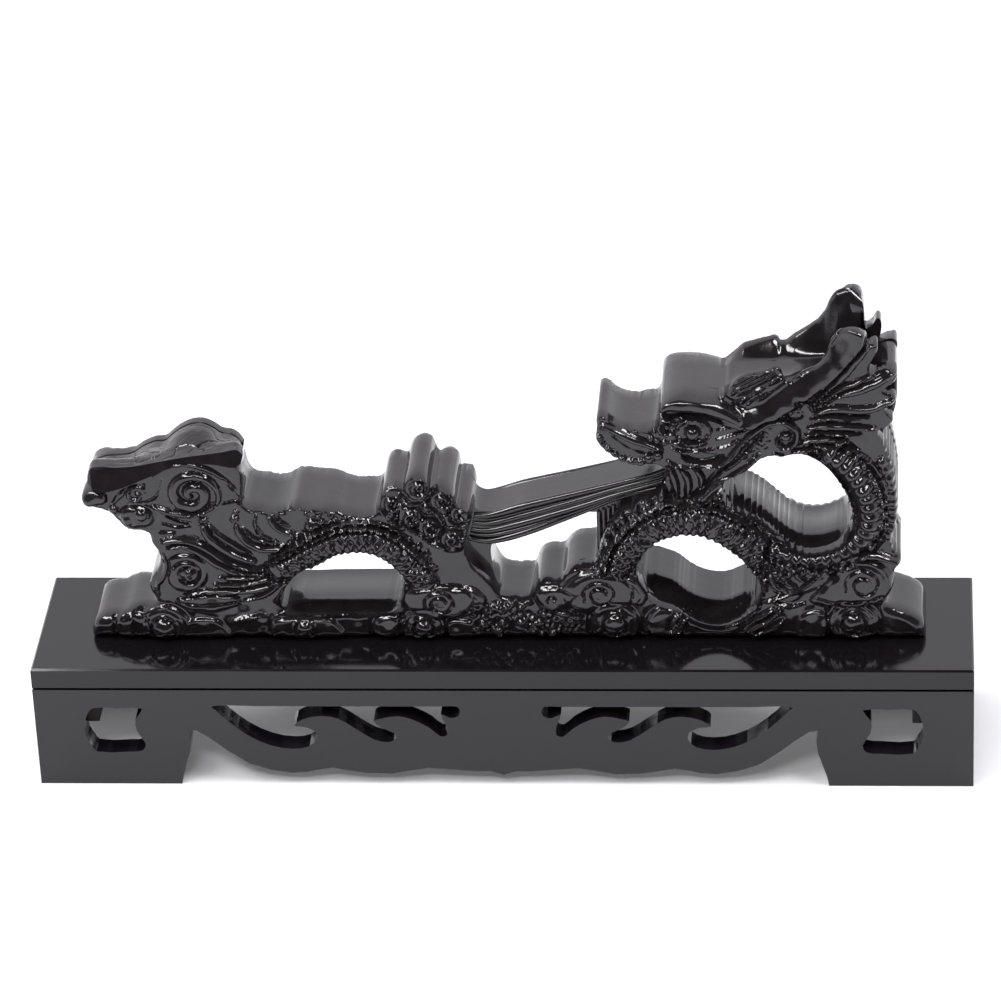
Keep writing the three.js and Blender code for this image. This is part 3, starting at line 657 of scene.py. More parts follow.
def carve_eye(b):
    b.strand(smooth_path([(61.8, 101.6), (66, 103.6), (72, 104), (79, 103), (86, 100.6), (92.4, 97.2)]), 7.0,
             3.4, 0.1, 0.6, 0.0)
    b.groove(smooth_path([(63, 98.6), (70, 98.4), (79, 98), (86, 95.4), (91.6, 93.4)]), 2.0, 1.7)
    b.bead(75, 90.6, 5.4, 0.6, -0.9, 0.86, 0, 1.0)
    b.bead(75, 90.9, 3.0, 2.1, 0.1, 0.94, 0, 0.7)
    b.strand(smooth_path([(68.6, 92), (71, 95.6), (76, 96.4), (80.6, 94.2), (82.4, 90.6)]), 1.6, 1.0, 0.2)
    b.strand(smooth_path([(69.6, 88.8), (73, 86.2), (77.4, 86.2), (81.4, 88.6)]), 1.4, 0.9, 0.2)
    b.strand(smooth_path([(64, 106.8), (70, 108.4), (78, 107.6), (86, 105.8)]), 1.6, 0.9)


def carve_horn_and_ears(b):
    horn = smooth_path([(90.6, 98), (95, 97.6), (100, 99.6), (106, 103.4), (113.6, 109), (120, 114),
                        (126.4, 119.6), (131, 124.6), (133.8, 129.6), (134.6, 133)])
    b.bar(horn, 10.6, 0.8, 1.5, 2.3)
    b.strand(horn[14:-30] + (1.5, -2.3), 2.4, 0.7, 2.3, 0.3, 0.0)
    b.strand(horn[:-10] + (3.6, -5.2), 1.8, 1.2, 0.2, 0.4)
    b.plateau([(86.6, 107), (89.4, 111.6), (92.4, 115), (98, 116.6), (104, 118), (107.6, 118.6), (108, 115.6),
               (101, 110.4), (95, 106), (91, 104.4)], 0.6, 1.2)
    b.hatch([(88, 107), (91, 112), (94, 115), (100, 115.8), (107, 118), (107, 115.4), (99, 109.6), (93, 106)],
            30, 1.5, 0.9)
    b.plateau([(91.6, 102), (96, 101.6), (103, 104.6), (110, 109.6), (116, 115), (113, 116.6), (105, 112),
               (97, 106.4)], 0.7, 1.2)
    b.hatch([(93, 102.6), (97, 102.4), (104, 106), (111, 111), (115, 115.4), (111, 114.4), (103, 109.6),
             (96, 105)],
            38, 1.5, 0.9)
    b.strand(smooth_path([(91, 104), (97, 107.6), (104, 112.4), (109, 116.2)]), 1.2, 0.9, 0.4)


def carve_mane(b):
    locks = (
        ([(120.6, 103.6), (126, 109), (131.4, 115), (137, 122.4), (141.6, 128.6)], 3.2),
        ([(121.4, 101.8), (128, 106.6), (136, 108.6), (144, 111.8), (151, 116.8)], 3.6),
        ([(124, 104.6), (130, 109.6), (137, 112.6), (144, 117)], 2.2),
        ([(121, 99.4), (128, 101), (136, 100.6), (143, 101.4), (150.2, 105.2)], 3.6),
        ([(119, 96.6), (126, 97.4), (134, 97), (141, 97.4)], 2.2),
        ([(118, 93), (125, 93.6), (133, 93.2), (143, 92.6)], 3.2),
        ([(117, 90), (123, 90.6), (130, 90.2), (138, 89.8)], 2.2),
        ([(114, 86), (119.6, 87.8), (126, 88), (133, 87)], 2.6),
        ([(112, 82.6), (117, 83.6), (122, 83.6)], 2.2),
    )
    for path, width in locks:
        b.strand(smooth_path(path), width, 1.5, 0.1, 0.4)
    b.strand(smooth_path([(114.6, 104.6), (118.6, 103), (120, 100)]), 2.0, 1.2, 0.2)
    b.bead(112.6, 98.2, 3.0, 0.5, -1.2, 0.5, 10, 0.9)
    b.strand(smooth_path([(76, 74.6), (82, 75.4), (88, 79.4), (93, 85.4), (98, 91), (103.6, 95),
                          (109.4, 95.4), (113.8, 91.6), (113.4, 86.8), (109.6, 84.2), (106.4, 86.6),
                          (107.6, 89.2)]),
             2.6, 1.6, 0.3, 0.4)
    b.bead(109.8, 89.2, 2.0, 1.2, 0.3)
    b.plateau([(91, 79), (93.6, 85.6), (99, 90.6), (105, 93), (105, 88), (103.4, 82.4), (100, 78), (95, 76)],
              0.2, 1.2)
    b.stipple([(92, 79), (94.4, 85), (99.4, 90), (104.4, 92.4), (104.4, 88), (102.6, 82.6), (99.4, 78.6),
               (95, 77)],
              1.5, 0.5, 0.9)
    for path, width in (([(71, 60), (75, 66), (80, 71), (86.6, 75), (92.4, 79.6), (97, 85), (102, 91)], 1.7),
                        ([(73.6, 58), (78, 63.6), (83, 68.4), (89, 72.2), (95, 76.4), (100, 81.6)], 1.7),
                        ([(77, 58), (82, 63.4), (88, 67.4), (95, 71)], 1.5),
                        ([(105, 82), (110, 80.4), (116, 80)], 1.6), ([(103, 77), (109, 75.4), (114, 75.6)],
                                                                     1.6)):
        b.strand(smooth_path(path), width, 1.1, 0.1)


def carve_throat(b):
    """A dark hollow under the jaw with folds in it, and the fin of leaves that runs up the second arch."""
    b.plateau([(62.6, 75.6), (63.6, 66), (65.6, 60), (70, 59), (75.6, 63), (83, 70.6), (88, 76.6), (80, 75.4),
               (71, 75)], -3.2, 2.2)
    for path, width, rise in (([(65.6, 75), (67.4, 69), (68.6, 62.4)], 2.6, 1.6),
                              ([(70, 74.6), (72.6, 68.6), (72.4, 62)], 2.4, 1.5),
                              ([(75, 74.6), (77.6, 70.4), (77.6, 66)], 2.2, 1.4)):
        b.strand(smooth_path(path), width, rise, -2.2)
    b.bead(67.6, 60.6, 1.8, 1.6, 0.0)
    b.strand(smooth_path([(40.4, 31), (41, 36.6), (43.6, 43.2), (48, 49.2), (54, 55), (60.6, 59.2),
                          (68, 61.8)]),
             2.4, 1.9, 0.3, 0.6)
    for x, h, turn in ((41, 44.4, 64), (43.8, 49.4, 56), (47.6, 53.6, 48), (52.4, 57.6, 40), (57.4, 61, 32),
                       (62.6, 64, 26)):
        b.bead(x, h, 3.0, 2.0, 0.2, 0.5, turn + 60, 0.6)


carve_muzzle(bench)
carve_horn_and_ears(bench)
carve_eye(bench)
carve_mane(bench)
carve_throat(bench)
draw_wave = np.random.default_rng(31)
for _ in range(9):
    across, up, phase = draw_wave.uniform(-0.9, 0.9), draw_wave.uniform(-0.9, 0.9), draw_wave.uniform(0, 6.3)
    bench.form += 0.05 * np.sin(across * bench.X + up * bench.Z + phase)
relief = bench.heights(2)
relief = np.where(relief > 0, 1.3 * relief, relief)
print("whole face carved: from", round(float(relief.min()), 2), "to", round(float(relief.max()), 2), "mm")

# %% [markdown]
# ## From heights to a carved plate
#
# A plate is bounded by the saw-cut outline. Its face is a sheet of small triangles that follows the heights
# and rolls over at the rim, its wall runs straight back along the depth, and its back is flat. The face is
# triangulated once from an even field of points plus the outline, so every hole keeps its true edge.


# %% Plate builder
def inside_loops(loops, x, h):
    """Even-odd rule: a place is inside when a line to the right crosses the loops an odd number of times."""
    odd = np.zeros(len(x), bool)
    for loop in loops:
        for (x0, h0), (x1, h1) in zip(loop, np.roll(loop, -1, 0)):
            if h0 != h1:
                odd ^= ((h0 > h) != (h1 > h)) & (x < (x1 - x0) * (h - h0) / (h1 - h0) + x0)
    return odd


def rim_distance(loops, x, h, reach):
    """Distance from each place to the nearest outline point, as far as `reach`, found through a coarse
    grid."""
    rim = np.vstack(loops)
    far = np.full(len(x), reach)
    order = np.argsort(x)
    xs = x[order]
    for px, ph in rim:
        a, b = np.searchsorted(xs, (px - reach, px + reach))
        near = order[a:b]
        near = near[np.abs(h[near] - ph) < reach]
        far[near] = np.minimum(far[near], np.hypot(x[near] - px, h[near] - ph))
    return far


def triangulate(loops, spots):
    """Triangles over the loops' own points followed by the free spots, kept only where they lie inside."""
    points = np.vstack([*loops, spots]) if len(spots) else np.vstack(loops)
    edges = []
    first = 0
    for loop in loops:
        n = len(loop)
        edges += [(first + k, first + (k + 1) % n) for k in range(n)]
        first += n
    made = delaunay_2d_cdt([Vector(p) for p in points], edges, [], 0, 1e-7)
    places = np.array([tuple(p) for p in made[0]])
    faces = np.array(made[2])
    middle = places[faces].mean(1)
    faces = faces[inside_loops(loops, middle[:, 0], middle[:, 1])]
    return places, faces, first


def triangle_mesh(name, points_mm, faces, sharp_deg=38):
    """A mesh from whole arrays of points (millimetres) and triangles, smooth except at sharp angles."""
    mesh = bpy.data.meshes.new(name)
    mesh.vertices.add(len(points_mm))
    mesh.vertices.foreach_set("co", (np.asarray(points_mm, float) * MM).astype(np.float32).ravel())
    mesh.loops.add(3 * len(faces))
    mesh.polygons.add(len(faces))
    mesh.loops.foreach_set("vertex_index", np.asarray(faces, np.int32).ravel())
    mesh.polygons.foreach_set("loop_start", np.arange(0, 3 * len(faces), 3, dtype=np.int32))
    mesh.update(calc_edges=True)
    mesh.validate()
    mesh.shade_smooth()
    mesh.set_sharp_from_angle(angle=math.radians(sharp_deg))
    piece = bpy.data.objects.new(name, mesh)
    bpy.context.scene.collection.objects.link(piece)
    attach(piece, "root")
    return piece


def carved_plate(name, outlines, face_y, back_y, heights=None, roll=1.3, grid=GRID, thin=None):
    """One plate. Its face lies at y = face - height + roll - sqrt(roll² - (roll - distance to the rim)²),
    counted towards the back. The outer loop runs anticlockwise and the holes clockwise, so the walls face
    outward."""
    loops = [loop if (loop_area(loop) > 0) == (k == 0) else loop[::-1] for k, loop in enumerate(outlines)]
    low, high = np.vstack(loops).min(0), np.vstack(loops).max(0)
    columns = np.arange(low[0], high[0], grid)
    rows = np.arange(low[1], high[1], grid * math.sqrt(3) / 2)
    X, H = np.meshgrid(columns, rows)
    X = X + 0.5 * grid * (np.arange(len(rows)) % 2)[:, None]
    X, H = X.ravel(), H.ravel()
    keep = inside_loops(loops, X, H) & (rim_distance(loops, X, H, 0.6 * grid) > 0.55 * grid)
    places, faces, rim_count = triangulate(loops, np.stack([X[keep], H[keep]], 1))
    if np.ndim(roll):
        roll = roll[0] + (roll[1] - roll[0]) * np.clip((24 - places[:, 1] + BASE) / 8, 0, 1)
    far = rim_distance(loops, places[:, 0], places[:, 1], np.max(roll))
    far[:rim_count] = 0
    far = np.minimum(far, roll)
    drop = roll - np.sqrt(np.clip(roll**2 - (roll - far) ** 2, 0, None))
    height = 0 if heights is None else bench.read(heights, places[:, 0], places[:, 1] - BASE)
    sign = 1 if face_y < back_y else -1
    front = np.stack([places[:, 0], face_y + sign * (drop - height), places[:, 1]], 1)
    flat, flat_faces, _ = triangulate(loops, np.zeros((0, 2)))
    rear = np.full(len(flat), float(back_y)) if thin is None else thin(flat[:, 0], flat[:, 1] - BASE)
    back = np.stack([flat[:, 0], rear, flat[:, 1]], 1)
    walls = []
    start, first = len(front), 0
    for loop in loops:
        here = first + np.arange(len(loop))
        onward = first + (np.arange(len(loop)) + 1) % len(loop)
        walls += [np.stack([here, start + here, start + onward], 1),
                  np.stack([here, start + onward, onward], 1)]
        first += len(loop)
    walls = np.vstack(walls)
    every = np.vstack([front, back])
    turned = (every, faces, (0, -sign, 0)), (every, start + flat_faces, (0, sign, 0))
    parts = [outward(*turn) for turn in turned] + [walls if sign > 0 else walls[:, ::-1]]
    return triangle_mesh(name, every, np.vstack(parts))


def outward(points, faces, direction):
    """Turn each triangle so that its normal has a positive part along the direction."""
    a, b, c = points[faces[:, 0]], points[faces[:, 1]], points[faces[:, 2]]
    wrong = np.cross(b - a, c - a) @ np.array(direction, float) < 0
    faces[wrong] = faces[wrong][:, ::-1]
    return faces


def pleated(loops, places, pitch=2.3, depth=0.6):
    """Loops with rounded pleats on the stretches near the given places: each point moves along its own normal
    by depth·(|sin| - 1/2), faded out at the ends of the stretch. The pleats are counted by x less height, so
    that those of the front, middle and back layers line up."""
    made = []
    for loop in loops:
        along = np.roll(loop, -3, 0) - np.roll(loop, 3, 0)
        along /= np.linalg.norm(along, axis=1, keepdims=True) + 1e-9
        count = 0.62 * (loop[:, 0] - loop[:, 1])
        share = np.zeros(len(loop))
        for x, h, reach in places:
            gap = np.hypot(loop[:, 0] - x, loop[:, 1] - BASE - h)
            share = np.maximum(share, np.clip((reach - gap) / 3, 0, 1))
        wave = depth * (np.abs(np.sin(math.pi * count / pitch)) - 0.5) * share
        made.append(loop + wave[:, None] * np.stack([along[:, 1], -along[:, 0]], 1))
    return made


def redrawn(loop, path):
    """The loop with the stretch between the two ends of a path replaced by the path."""
    path = smooth_path(path, GRID) + (0, BASE)
    ends = [int(np.argmin(np.hypot(*(loop - end).T))) for end in (path[0], path[-1])]
    turned = np.roll(loop, -ends[0], 0)
    stop = (ends[1] - ends[0]) % len(loop)
    if stop > len(loop) / 2:
        turned = np.roll(loop[::-1], ends[0] + 1, 0)
        stop = (ends[0] - ends[1]) % len(loop)
    return np.vstack([path, turned[stop + 1:-1]])


def thin_near_ear(x, h):
    """The ear and the horn are undercut, so their rim is thin there: the rim's inner edge by place."""
    share = np.clip((x - 87) / 3, 0, 1) * np.clip((h - 103) / 4, 0, 1) * np.clip((141 - x) / 2, 0, 1)
    return FACE_FRONT + SKIN - 6.6 * share


def thin_far_ear(x, h):
    """The same for the far ear and horn, a little thicker."""
    share = np.clip((x - 87) / 3, 0, 1) * np.clip((h - 106) / 3, 0, 1) * np.clip((139 - x) / 2, 0, 1)
    return FACE_BACK - SKIN + 5.0 * share


PLEATS = [(38, 46, 11), (92, 57, 13), (86, 66, 11), (151, 62, 26), (110, 44, 10)]
FAR_HORN = [(87.1, 105.6), (89.8, 108.5), (93.6, 112.3), (100.1, 114.2), (104.6, 115.6), (106.4, 115.2),
            (107.4, 113.4), (109.4, 113.4), (112.9, 116.4), (117.6, 119.7), (121.5, 122.6), (124.3, 126.6),
            (126, 131), (128.6, 134.6), (132.8, 136.2), (136.9, 134.7), (138.7, 130.4), (139.1, 123.4),
            (139.8, 121.6), (142, 123.2), (143.6, 125.8), (145, 125.2), (145.4, 122.3), (144.6, 117.7),
            (142.8, 115)]
NEAR_HORN = [(112.6, 114), (116, 116.2), (121.8, 119.6), (124.2, 122.4), (125.6, 125.6), (126.6, 129),
             (128.6, 132.4), (132.1, 134.7), (136.1, 135), (139, 133.4), (140, 130.6), (140.3, 127.4)]
NEAR_FIN = [(31, 31.2), (35.4, 32.2), (37.6, 35.6), (38.8, 41), (40.6, 46.4), (43.4, 51), (46.6, 55.6),
            (50.6, 57), (54, 60.4), (58.4, 61.6), (62, 65), (64, 68.6), (64.6, 72)]
HEAD_TOP = [(-157.4, 60.6), (-158, 63.4), (-156.4, 66), (-153, 67), (-150, 67.2), (-146, 69), (-140, 71),
            (-130, 75), (-122, 78.4), (-112, 79.6), (-104, 79), (-98.4, 77), (-96.4, 72), (-96.6, 64)]
near_loops = [eased_loop(loop) for loop in skin_front_loops]
for stretch in (NEAR_HORN, NEAR_FIN, HEAD_TOP):
    near_loops[0] = redrawn(near_loops[0], stretch)
near_loops = pleated(near_loops, PLEATS[1:])
far_loops = pleated([eased_loop(loop) for loop in skin_back_loops], PLEATS)
far_loops[0] = redrawn(far_loops[0], FAR_HORN)
middle_loops = pleated([eased_loop(loop) for loop in core_loops], PLEATS)
front_carving = carved_plate("front_carving", near_loops, FACE_FRONT + 1, FACE_FRONT + SKIN, relief,
                             (1.4, 3.6), thin=thin_near_ear)
back_carving = carved_plate("back_carving", far_loops, FACE_BACK - 1, FACE_BACK - SKIN, relief, (1.4, 3.6),
                            thin=thin_far_ear)
core_body = carved_plate("core_body", middle_loops, FACE_FRONT + SKIN, FACE_BACK - SKIN, None, 0.02)
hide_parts("dragon_casting")
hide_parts("dragon_casting")
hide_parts("dragon_casting")
print("triangles:", [len(o.data.polygons) for o in (front_carving, back_carving, core_body)])

# %% [markdown]
# ## The cloud crest over the little head
#
# A thick cloud-shaped roof hangs over the little head. Its front edge is a long drooping lip and its top is
# creased like a folded leaf. It is swept: one closed section is carried along the crest, lip first, then
# back over the top.


# %% Crest
def swept(name, sections, ends=True, sharp_deg=38):
    """A closed skin over a list of closed sections (all with the same count of points, millimetres), with a
    fan to the middle point at both ends."""
    stack = np.array(sections, float)
    m, n, _ = stack.shape
    points = stack.reshape(-1, 3)
    i, j = np.meshgrid(np.arange(m - 1), np.arange(n), indexing="ij")
    a, b = i * n + j, i * n + (j + 1) % n
    c, d = b + n, a + n
    faces = [np.stack([a, b, c], -1).reshape(-1, 3), np.stack([a, c, d], -1).reshape(-1, 3)]
    if ends:
        points = np.vstack([points, stack[0].mean(0), stack[-1].mean(0)])
        k = np.arange(n)
        faces.append(np.stack([np.full(n, m * n), (k + 1) % n, k], 1))
        faces.append(np.stack([np.full(n, m * n + 1), (m - 1) * n + k, (m - 1) * n + (k + 1) % n], 1))
    faces = np.vstack(faces)
    p, q, r = points[faces[:, 0]], points[faces[:, 1]], points[faces[:, 2]]
    if np.einsum("ij,ij->", p, np.cross(q, r)) < 0:
        faces = faces[:, ::-1]
    return triangle_mesh(name, points, faces, sharp_deg)


def value_field(seed, size=64):
    """A repeatable soft noise: random values at whole numbers, smoothly joined, by place."""
    table = np.random.default_rng(seed).normal(0, 1, (size, size))

    def at(u, v):
        i, j = np.floor(u).astype(int), np.floor(v).astype(int)
        a, b = u - i, v - j
        a, b = a * a * (3 - 2 * a), b * b * (3 - 2 * b)
        i0, i1, j0, j1 = i % size, (i + 1) % size, j % size, (j + 1) % size
        return ((1 - a) * (1 - b) * table[i0, j0] + a * (1 - b) * table[i1, j0]
                + (1 - a) * b * table[i0, j1] + a * b * table[i1, j1])

    return at


def evenly(path, n):
    """The path with n points, equally shared."""
    at = np.linspace(0, 1, n)
    old = np.linspace(0, 1, len(path))
    return np.stack([np.interp(at, old, path[:, k]) for k in range(path.shape[1])], 1)


def crest_sections():
    """Sections across the crest, one every 0.4 mm: the lip leans back from the lower line to the front
    edge, the creased roof climbs over a low step to the humps, and a smooth rim closes it behind."""
    low = smooth_path([(-155, 70), (-151, 66.8), (-146, 67.4), (-140, 69.4), (-130, 73.4), (-122, 76.8),
                       (-115, 78.2), (-107, 78.2), (-99, 77.4), (-95.8, 78.4)], 0.4)
    edge = smooth_path([(-155, 72.6), (-153.6, 75.6), (-150, 76.4), (-144.6, 76), (-137, 76.5), (-129.4, 78),
                        (-118.6, 80.2), (-110, 81.5), (-103, 82.6), (-97.6, 83.6), (-95, 81.6)], 0.4)
    rear = smooth_path([(-155.4, 69), (-153.4, 71.2), (-149.5, 72.9), (-142.9, 73.4), (-139, 74.4),
                        (-134.9, 77.2), (-130.4, 79.2), (-126.6, 79.6), (-123.7, 82), (-120.2, 84.8),
                        (-115.8, 86.8), (-111.4, 87), (-107.7, 85.3), (-104.7, 83), (-101, 82.2),
                        (-98.6, 80.6), (-96.6, 77.6)], 0.4)
    n = 150
    low, edge, rear = evenly(low, n), evenly(edge, n), evenly(rear + (-1.0, -3.2), n)
    crack, ripple = value_field(21), value_field(22)
    sections = []
    for k in range(n):
        (lx, lh), (ex, eh), (rx, rh) = low[k], edge[k], rear[k]
        v = np.linspace(0, 1, 14)
        out = min(3.2, 0.45 * (eh - lh))
        lip = np.stack([lx + (ex - lx) * v, -12.2 - out * (1 - v) ** 1.1, lh + (eh - lh) * v], 1)
        v = np.linspace(0.03, 1, 46)
        y = -12.0 + 19.6 * v
        wide = np.clip(1 - 6.5 * np.abs(crack(0.075 * k + 7 + 0.5 * v, 3.6 * v + 9)), 0, 1)
        fine = np.clip(1 - 4 * np.abs(crack(0.2 * k, 8 * v)), 0, 1)
        calm = np.minimum(1, v * 6) * np.minimum(1, (1.03 - v) * 8)
        tier = np.clip((v - 0.25) / 0.55, 0, 1)
        tier = tier * tier * (3 - 2 * tier)
        crease = 0.55 * wide + 0.2 * fine
        up = 0.5 * np.sin(math.pi * v) - calm * (crease - 0.1 * ripple(0.16 * k, 5 * v))
        roof = np.stack([ex + (rx - ex) * v, y, eh + (rh - eh) * tier + up * (1 - v) ** 0.3], 1)
        rim = np.array([[rx, 7.9, rh - 0.4], [rx, 8.3, rh + 0.2], [rx, 9, rh + 0.3], [rx, 12.3, rh + 0.1],
                        [rx, 12.5, min(lh - 2.5, rh - 1.5)], [lx, -6, lh - 2.5]])
        sections.append(np.vstack([lip, roof, rim]) + (0, 0, BASE))
    return sections


cloud_crest = swept("cloud_crest", crest_sections())
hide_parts("dragon_casting")
print("crest triangles", len(cloud_crest.data.polygons))

# %% [markdown]
# ## The hollow between the ears
#
# Seen from above, the crown of the big head is a shallow valley that runs between the near and the far ear.
# It drops quickly behind the thin rim of the near ear and horn, runs nearly level, and climbs to the far
# ear.


# %% Crown of the head
def crown_sections():
    """One section for each place along the head: it falls by a cube from the near rim to the valley, and an
    S-curve climbs from there to the far ear."""
    rim = np.array([(86.5, 106.6), (88.7, 108.2), (90.5, 112), (92.5, 114.2), (97.1, 115.2), (101.1, 116.6),
                    (104.6, 117.5), (107.4, 118), (109.1, 115.2), (112.6, 116.2), (115.4, 117.4),
                    (118.3, 118.7), (121.8, 120.4), (124.6, 122.6), (126.1, 125), (127, 128), (128.7, 131.2),
                    (132.1, 133.6), (135, 133.6), (137.6, 131.6)])
    far = np.array([(86.5, 105), (89.8, 108), (93.6, 111.6), (100.1, 113.6), (104.6, 114.9), (106.6, 114),
                    (107.6, 112.8), (109.4, 112.8), (112.9, 115.8), (117.6, 119), (121.5, 122), (124.3, 126),
                    (126, 130.2), (128.6, 133.8), (132.8, 135.4), (136.9, 133.8), (138, 131.6)])
    valley = np.array([(86.8, 105.8), (88.6, 107.2), (94.4, 108.2), (106, 108.9), (117.7, 109.3),
                       (123.5, 110), (130, 111.5), (138, 114)])
    sections = []
    for x in np.linspace(86.6, 137.6, 110):
        top, bottom = np.interp(x, *rim.T), np.interp(x, *valley.T)
        s = np.linspace(0, 1, 60)
        y = -12.1 + 30 * s
        fall = (top - 0.7 - bottom) * np.clip(1 - (y + 12.1) / 20, 0, 1) ** 3
        climb = np.clip((y - 9.5) / 7, 0, 1)
        climb = climb * climb * (3 - 2 * climb) * (np.interp(x, *far.T) - 0.5 - bottom)
        h = bottom - 1 + 0.09 * (y + 12.1) + fall + climb * 0.97
        path = np.stack([np.full_like(s, x), y, h], 1)
        under = np.array([[x, 18, 97], [x, -11.3, 97]])
        sections.append(np.vstack([path, under]) + (0, 0, BASE))
    return sections


crown = swept("crown_of_head", crown_sections())
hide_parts("dragon_casting")
print("crown triangles", len(crown.data.polygons))

# %% [markdown]
# ## The lock of hair that joins the two halves
#
# A flat ribbon of seven strands leaves the head, dips and meets the plume. It is set back from the face,
# and the same strands are found on its other side. Each strand is a round rod that tapers a little at both
# ends.


# %% Hair ribbon
def rod(path, radius):
    """Closed round sections along a path of (x, y, z), with the radius given for every point."""
    path = np.asarray(path, float)
    along = np.gradient(path, axis=0)
    along /= np.linalg.norm(along, axis=1, keepdims=True)
    side = np.cross(along, (0.0, 1.0, 0.0))
    side /= np.linalg.norm(side, axis=1, keepdims=True)
    lift = np.cross(side, along)
    turn = np.linspace(0, 2 * math.pi, 14, endpoint=False)
    return [p + r * (np.cos(turn)[:, None] * s + np.sin(turn)[:, None] * u)
            for p, r, s, u in zip(path, radius, side, lift)]


def hair_ribbon(name, y, out):
    """Seven rods of uneven width between the edges of the ribbon, on the side that faces `out`."""
    upper = smooth_path([(-9, 52), (-5, 52), (0, 53), (10, 56.2), (18, 58.2), (35, 62.6), (55, 68.2),
                         (64, 71.6)], 0.6)
    lower = smooth_path([(-12, 40), (-6, 38.8), (0, 39.4), (10, 42.4), (25, 48.4), (33, 51.8), (45, 57),
                         (62, 62)], 0.6)
    n = 120
    at = np.linspace(0, 1, n)
    edge = [evenly(upper, n), evenly(lower, n)]
    made = []
    widths = np.array([1.5, 0.8, 1.2, 0.7, 1.3, 0.9, 1.4])
    starts = np.concatenate([[0], np.cumsum(widths)]) / widths.sum()
    for k in range(len(widths)):
        share = (starts[k] + starts[k + 1]) / 2
        line = edge[0] * (1 - share) + edge[1] * share
        wide = np.linalg.norm(edge[0] - edge[1], axis=1) * widths[k] / widths.sum()
        wander = 0.25 * np.sin(5 * at + 1.7 * k)
        depth = y + out * (0.1 + 0.3 * np.cos(4 * at + k))
        path = np.stack([line[:, 0], depth, BASE + line[:, 1] + wander], 1)
        radius = wide * 0.55 * (0.75 + 0.25 * np.sin(math.pi * at) ** 0.5)
        made.append(swept(f"{name}_{k + 1}", rod(path, radius)))
    return made


ribbon_front = hair_ribbon("hair_front", FACE_FRONT + SKIN, -1)
ribbon_back = hair_ribbon("hair_back", FACE_BACK - SKIN, 1)
for strand in ribbon_front + ribbon_back:
    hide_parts("dragon_casting")
print("hair strands", len(ribbon_front) + len(ribbon_back))

# %% [markdown]
# ## The floors of the windows
#
# The floor of each window is not flat: behind the carved rim it slopes up towards the back, then runs level
# or sinks a little. One closed skin lies on each floor.


# %% Window floors
def window_floor(name, loop, rise, settle):
    """height(y) = floor + rise·ease((y + 12.4) / (4 + 1.5·rise)), easing down to settle·rise at the back."""
    x0, x1 = loop[:, 0].min() + 1.6, loop[:, 0].max() - 1.6
    lowest = [loop[np.abs(loop[:, 0] - x) < 0.5, 1].min() for x in np.linspace(x0, x1, 90)]
    sections = []
    for x, h in zip(np.linspace(x0, x1, 90), lowest):
        y = np.linspace(-12.4, 19.6, 40)
        t, u = np.clip((y + 12.4) / (4 + 1.5 * rise), 0, 1), np.clip((y + 2) / 20, 0, 1)
        lift = t * t * (3 - 2 * t) * (1 - (1 - settle) * u * u * (3 - 2 * u))
        fade = float(np.clip(min(x - x0, x1 - x) / 6, 0, 1)) ** 0.7
        top = np.stack([np.full_like(y, x), y, h - 0.35 + rise * fade * lift], 1)
        sections.append(np.vstack([top, [[x, 19.6, h - 2.5], [x, -12.4, h - 2.5]]]))
    return swept(name, sections)


floors = []
for x, h, rise, settle in ((-58, 26, 2.2, 0.3), (72, 30, 5.2, 1.0), (116, 60, 3.0, 0.3)):
    for loop in near_loops[1:]:
        if inside_loops([loop], np.array([float(x)]), np.array([h + BASE]))[0]:
            floors.append(window_floor(f"window_floor_{len(floors) + 1}", loop, rise, settle))
            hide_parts("dragon_casting")
print("window floors", [(round(o.bound_box[0][0], 3), round(o.bound_box[6][0], 3)) for o in floors])

# %% [markdown]
# ## The ribs beside the ribbon
#
# Between the hair ribbon and the second arch the middle of the plank shows four upright ribs, left by the
# round cutter that cleared the opening. They are half-buried rods.

# %% Ribs
ribs = []
for k, (x, low, high) in enumerate(((38.3, 34, 53.6), (40.2, 37, 54.6), (42.1, 40, 55.4), (44, 43, 56.2))):
    for side, y in (("front", FACE_FRONT + SKIN + 0.3), ("back", FACE_BACK - SKIN - 0.3)):
        line = np.linspace((x, y, BASE + low), (x, y, BASE + high), 24)
        up = np.linspace(0, 1, 24)
        turn = np.linspace(0, 2 * math.pi, 14, endpoint=False)
        radius = 1.05 * np.sqrt(np.clip(1 - (2 * up - 1) ** 10, 0.05, 1))
        rings = [p + r * np.stack([np.cos(turn), np.sin(turn), 0 * turn], 1) for p, r in zip(line, radius)]
        ribs.append(swept(f"rib_{side}_{k + 1}", rings))
        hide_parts("dragon_casting")
print("ribs", len(ribs))

# %% [markdown]
# ## Lacquer, bare wood and zinc
#
# Every finish is mixed from noise in the object's own coordinates. The helper below lets the formulas be
# written with ordinary signs: a Signal is a value in a material, and + - * between signals make the maths
# nodes.


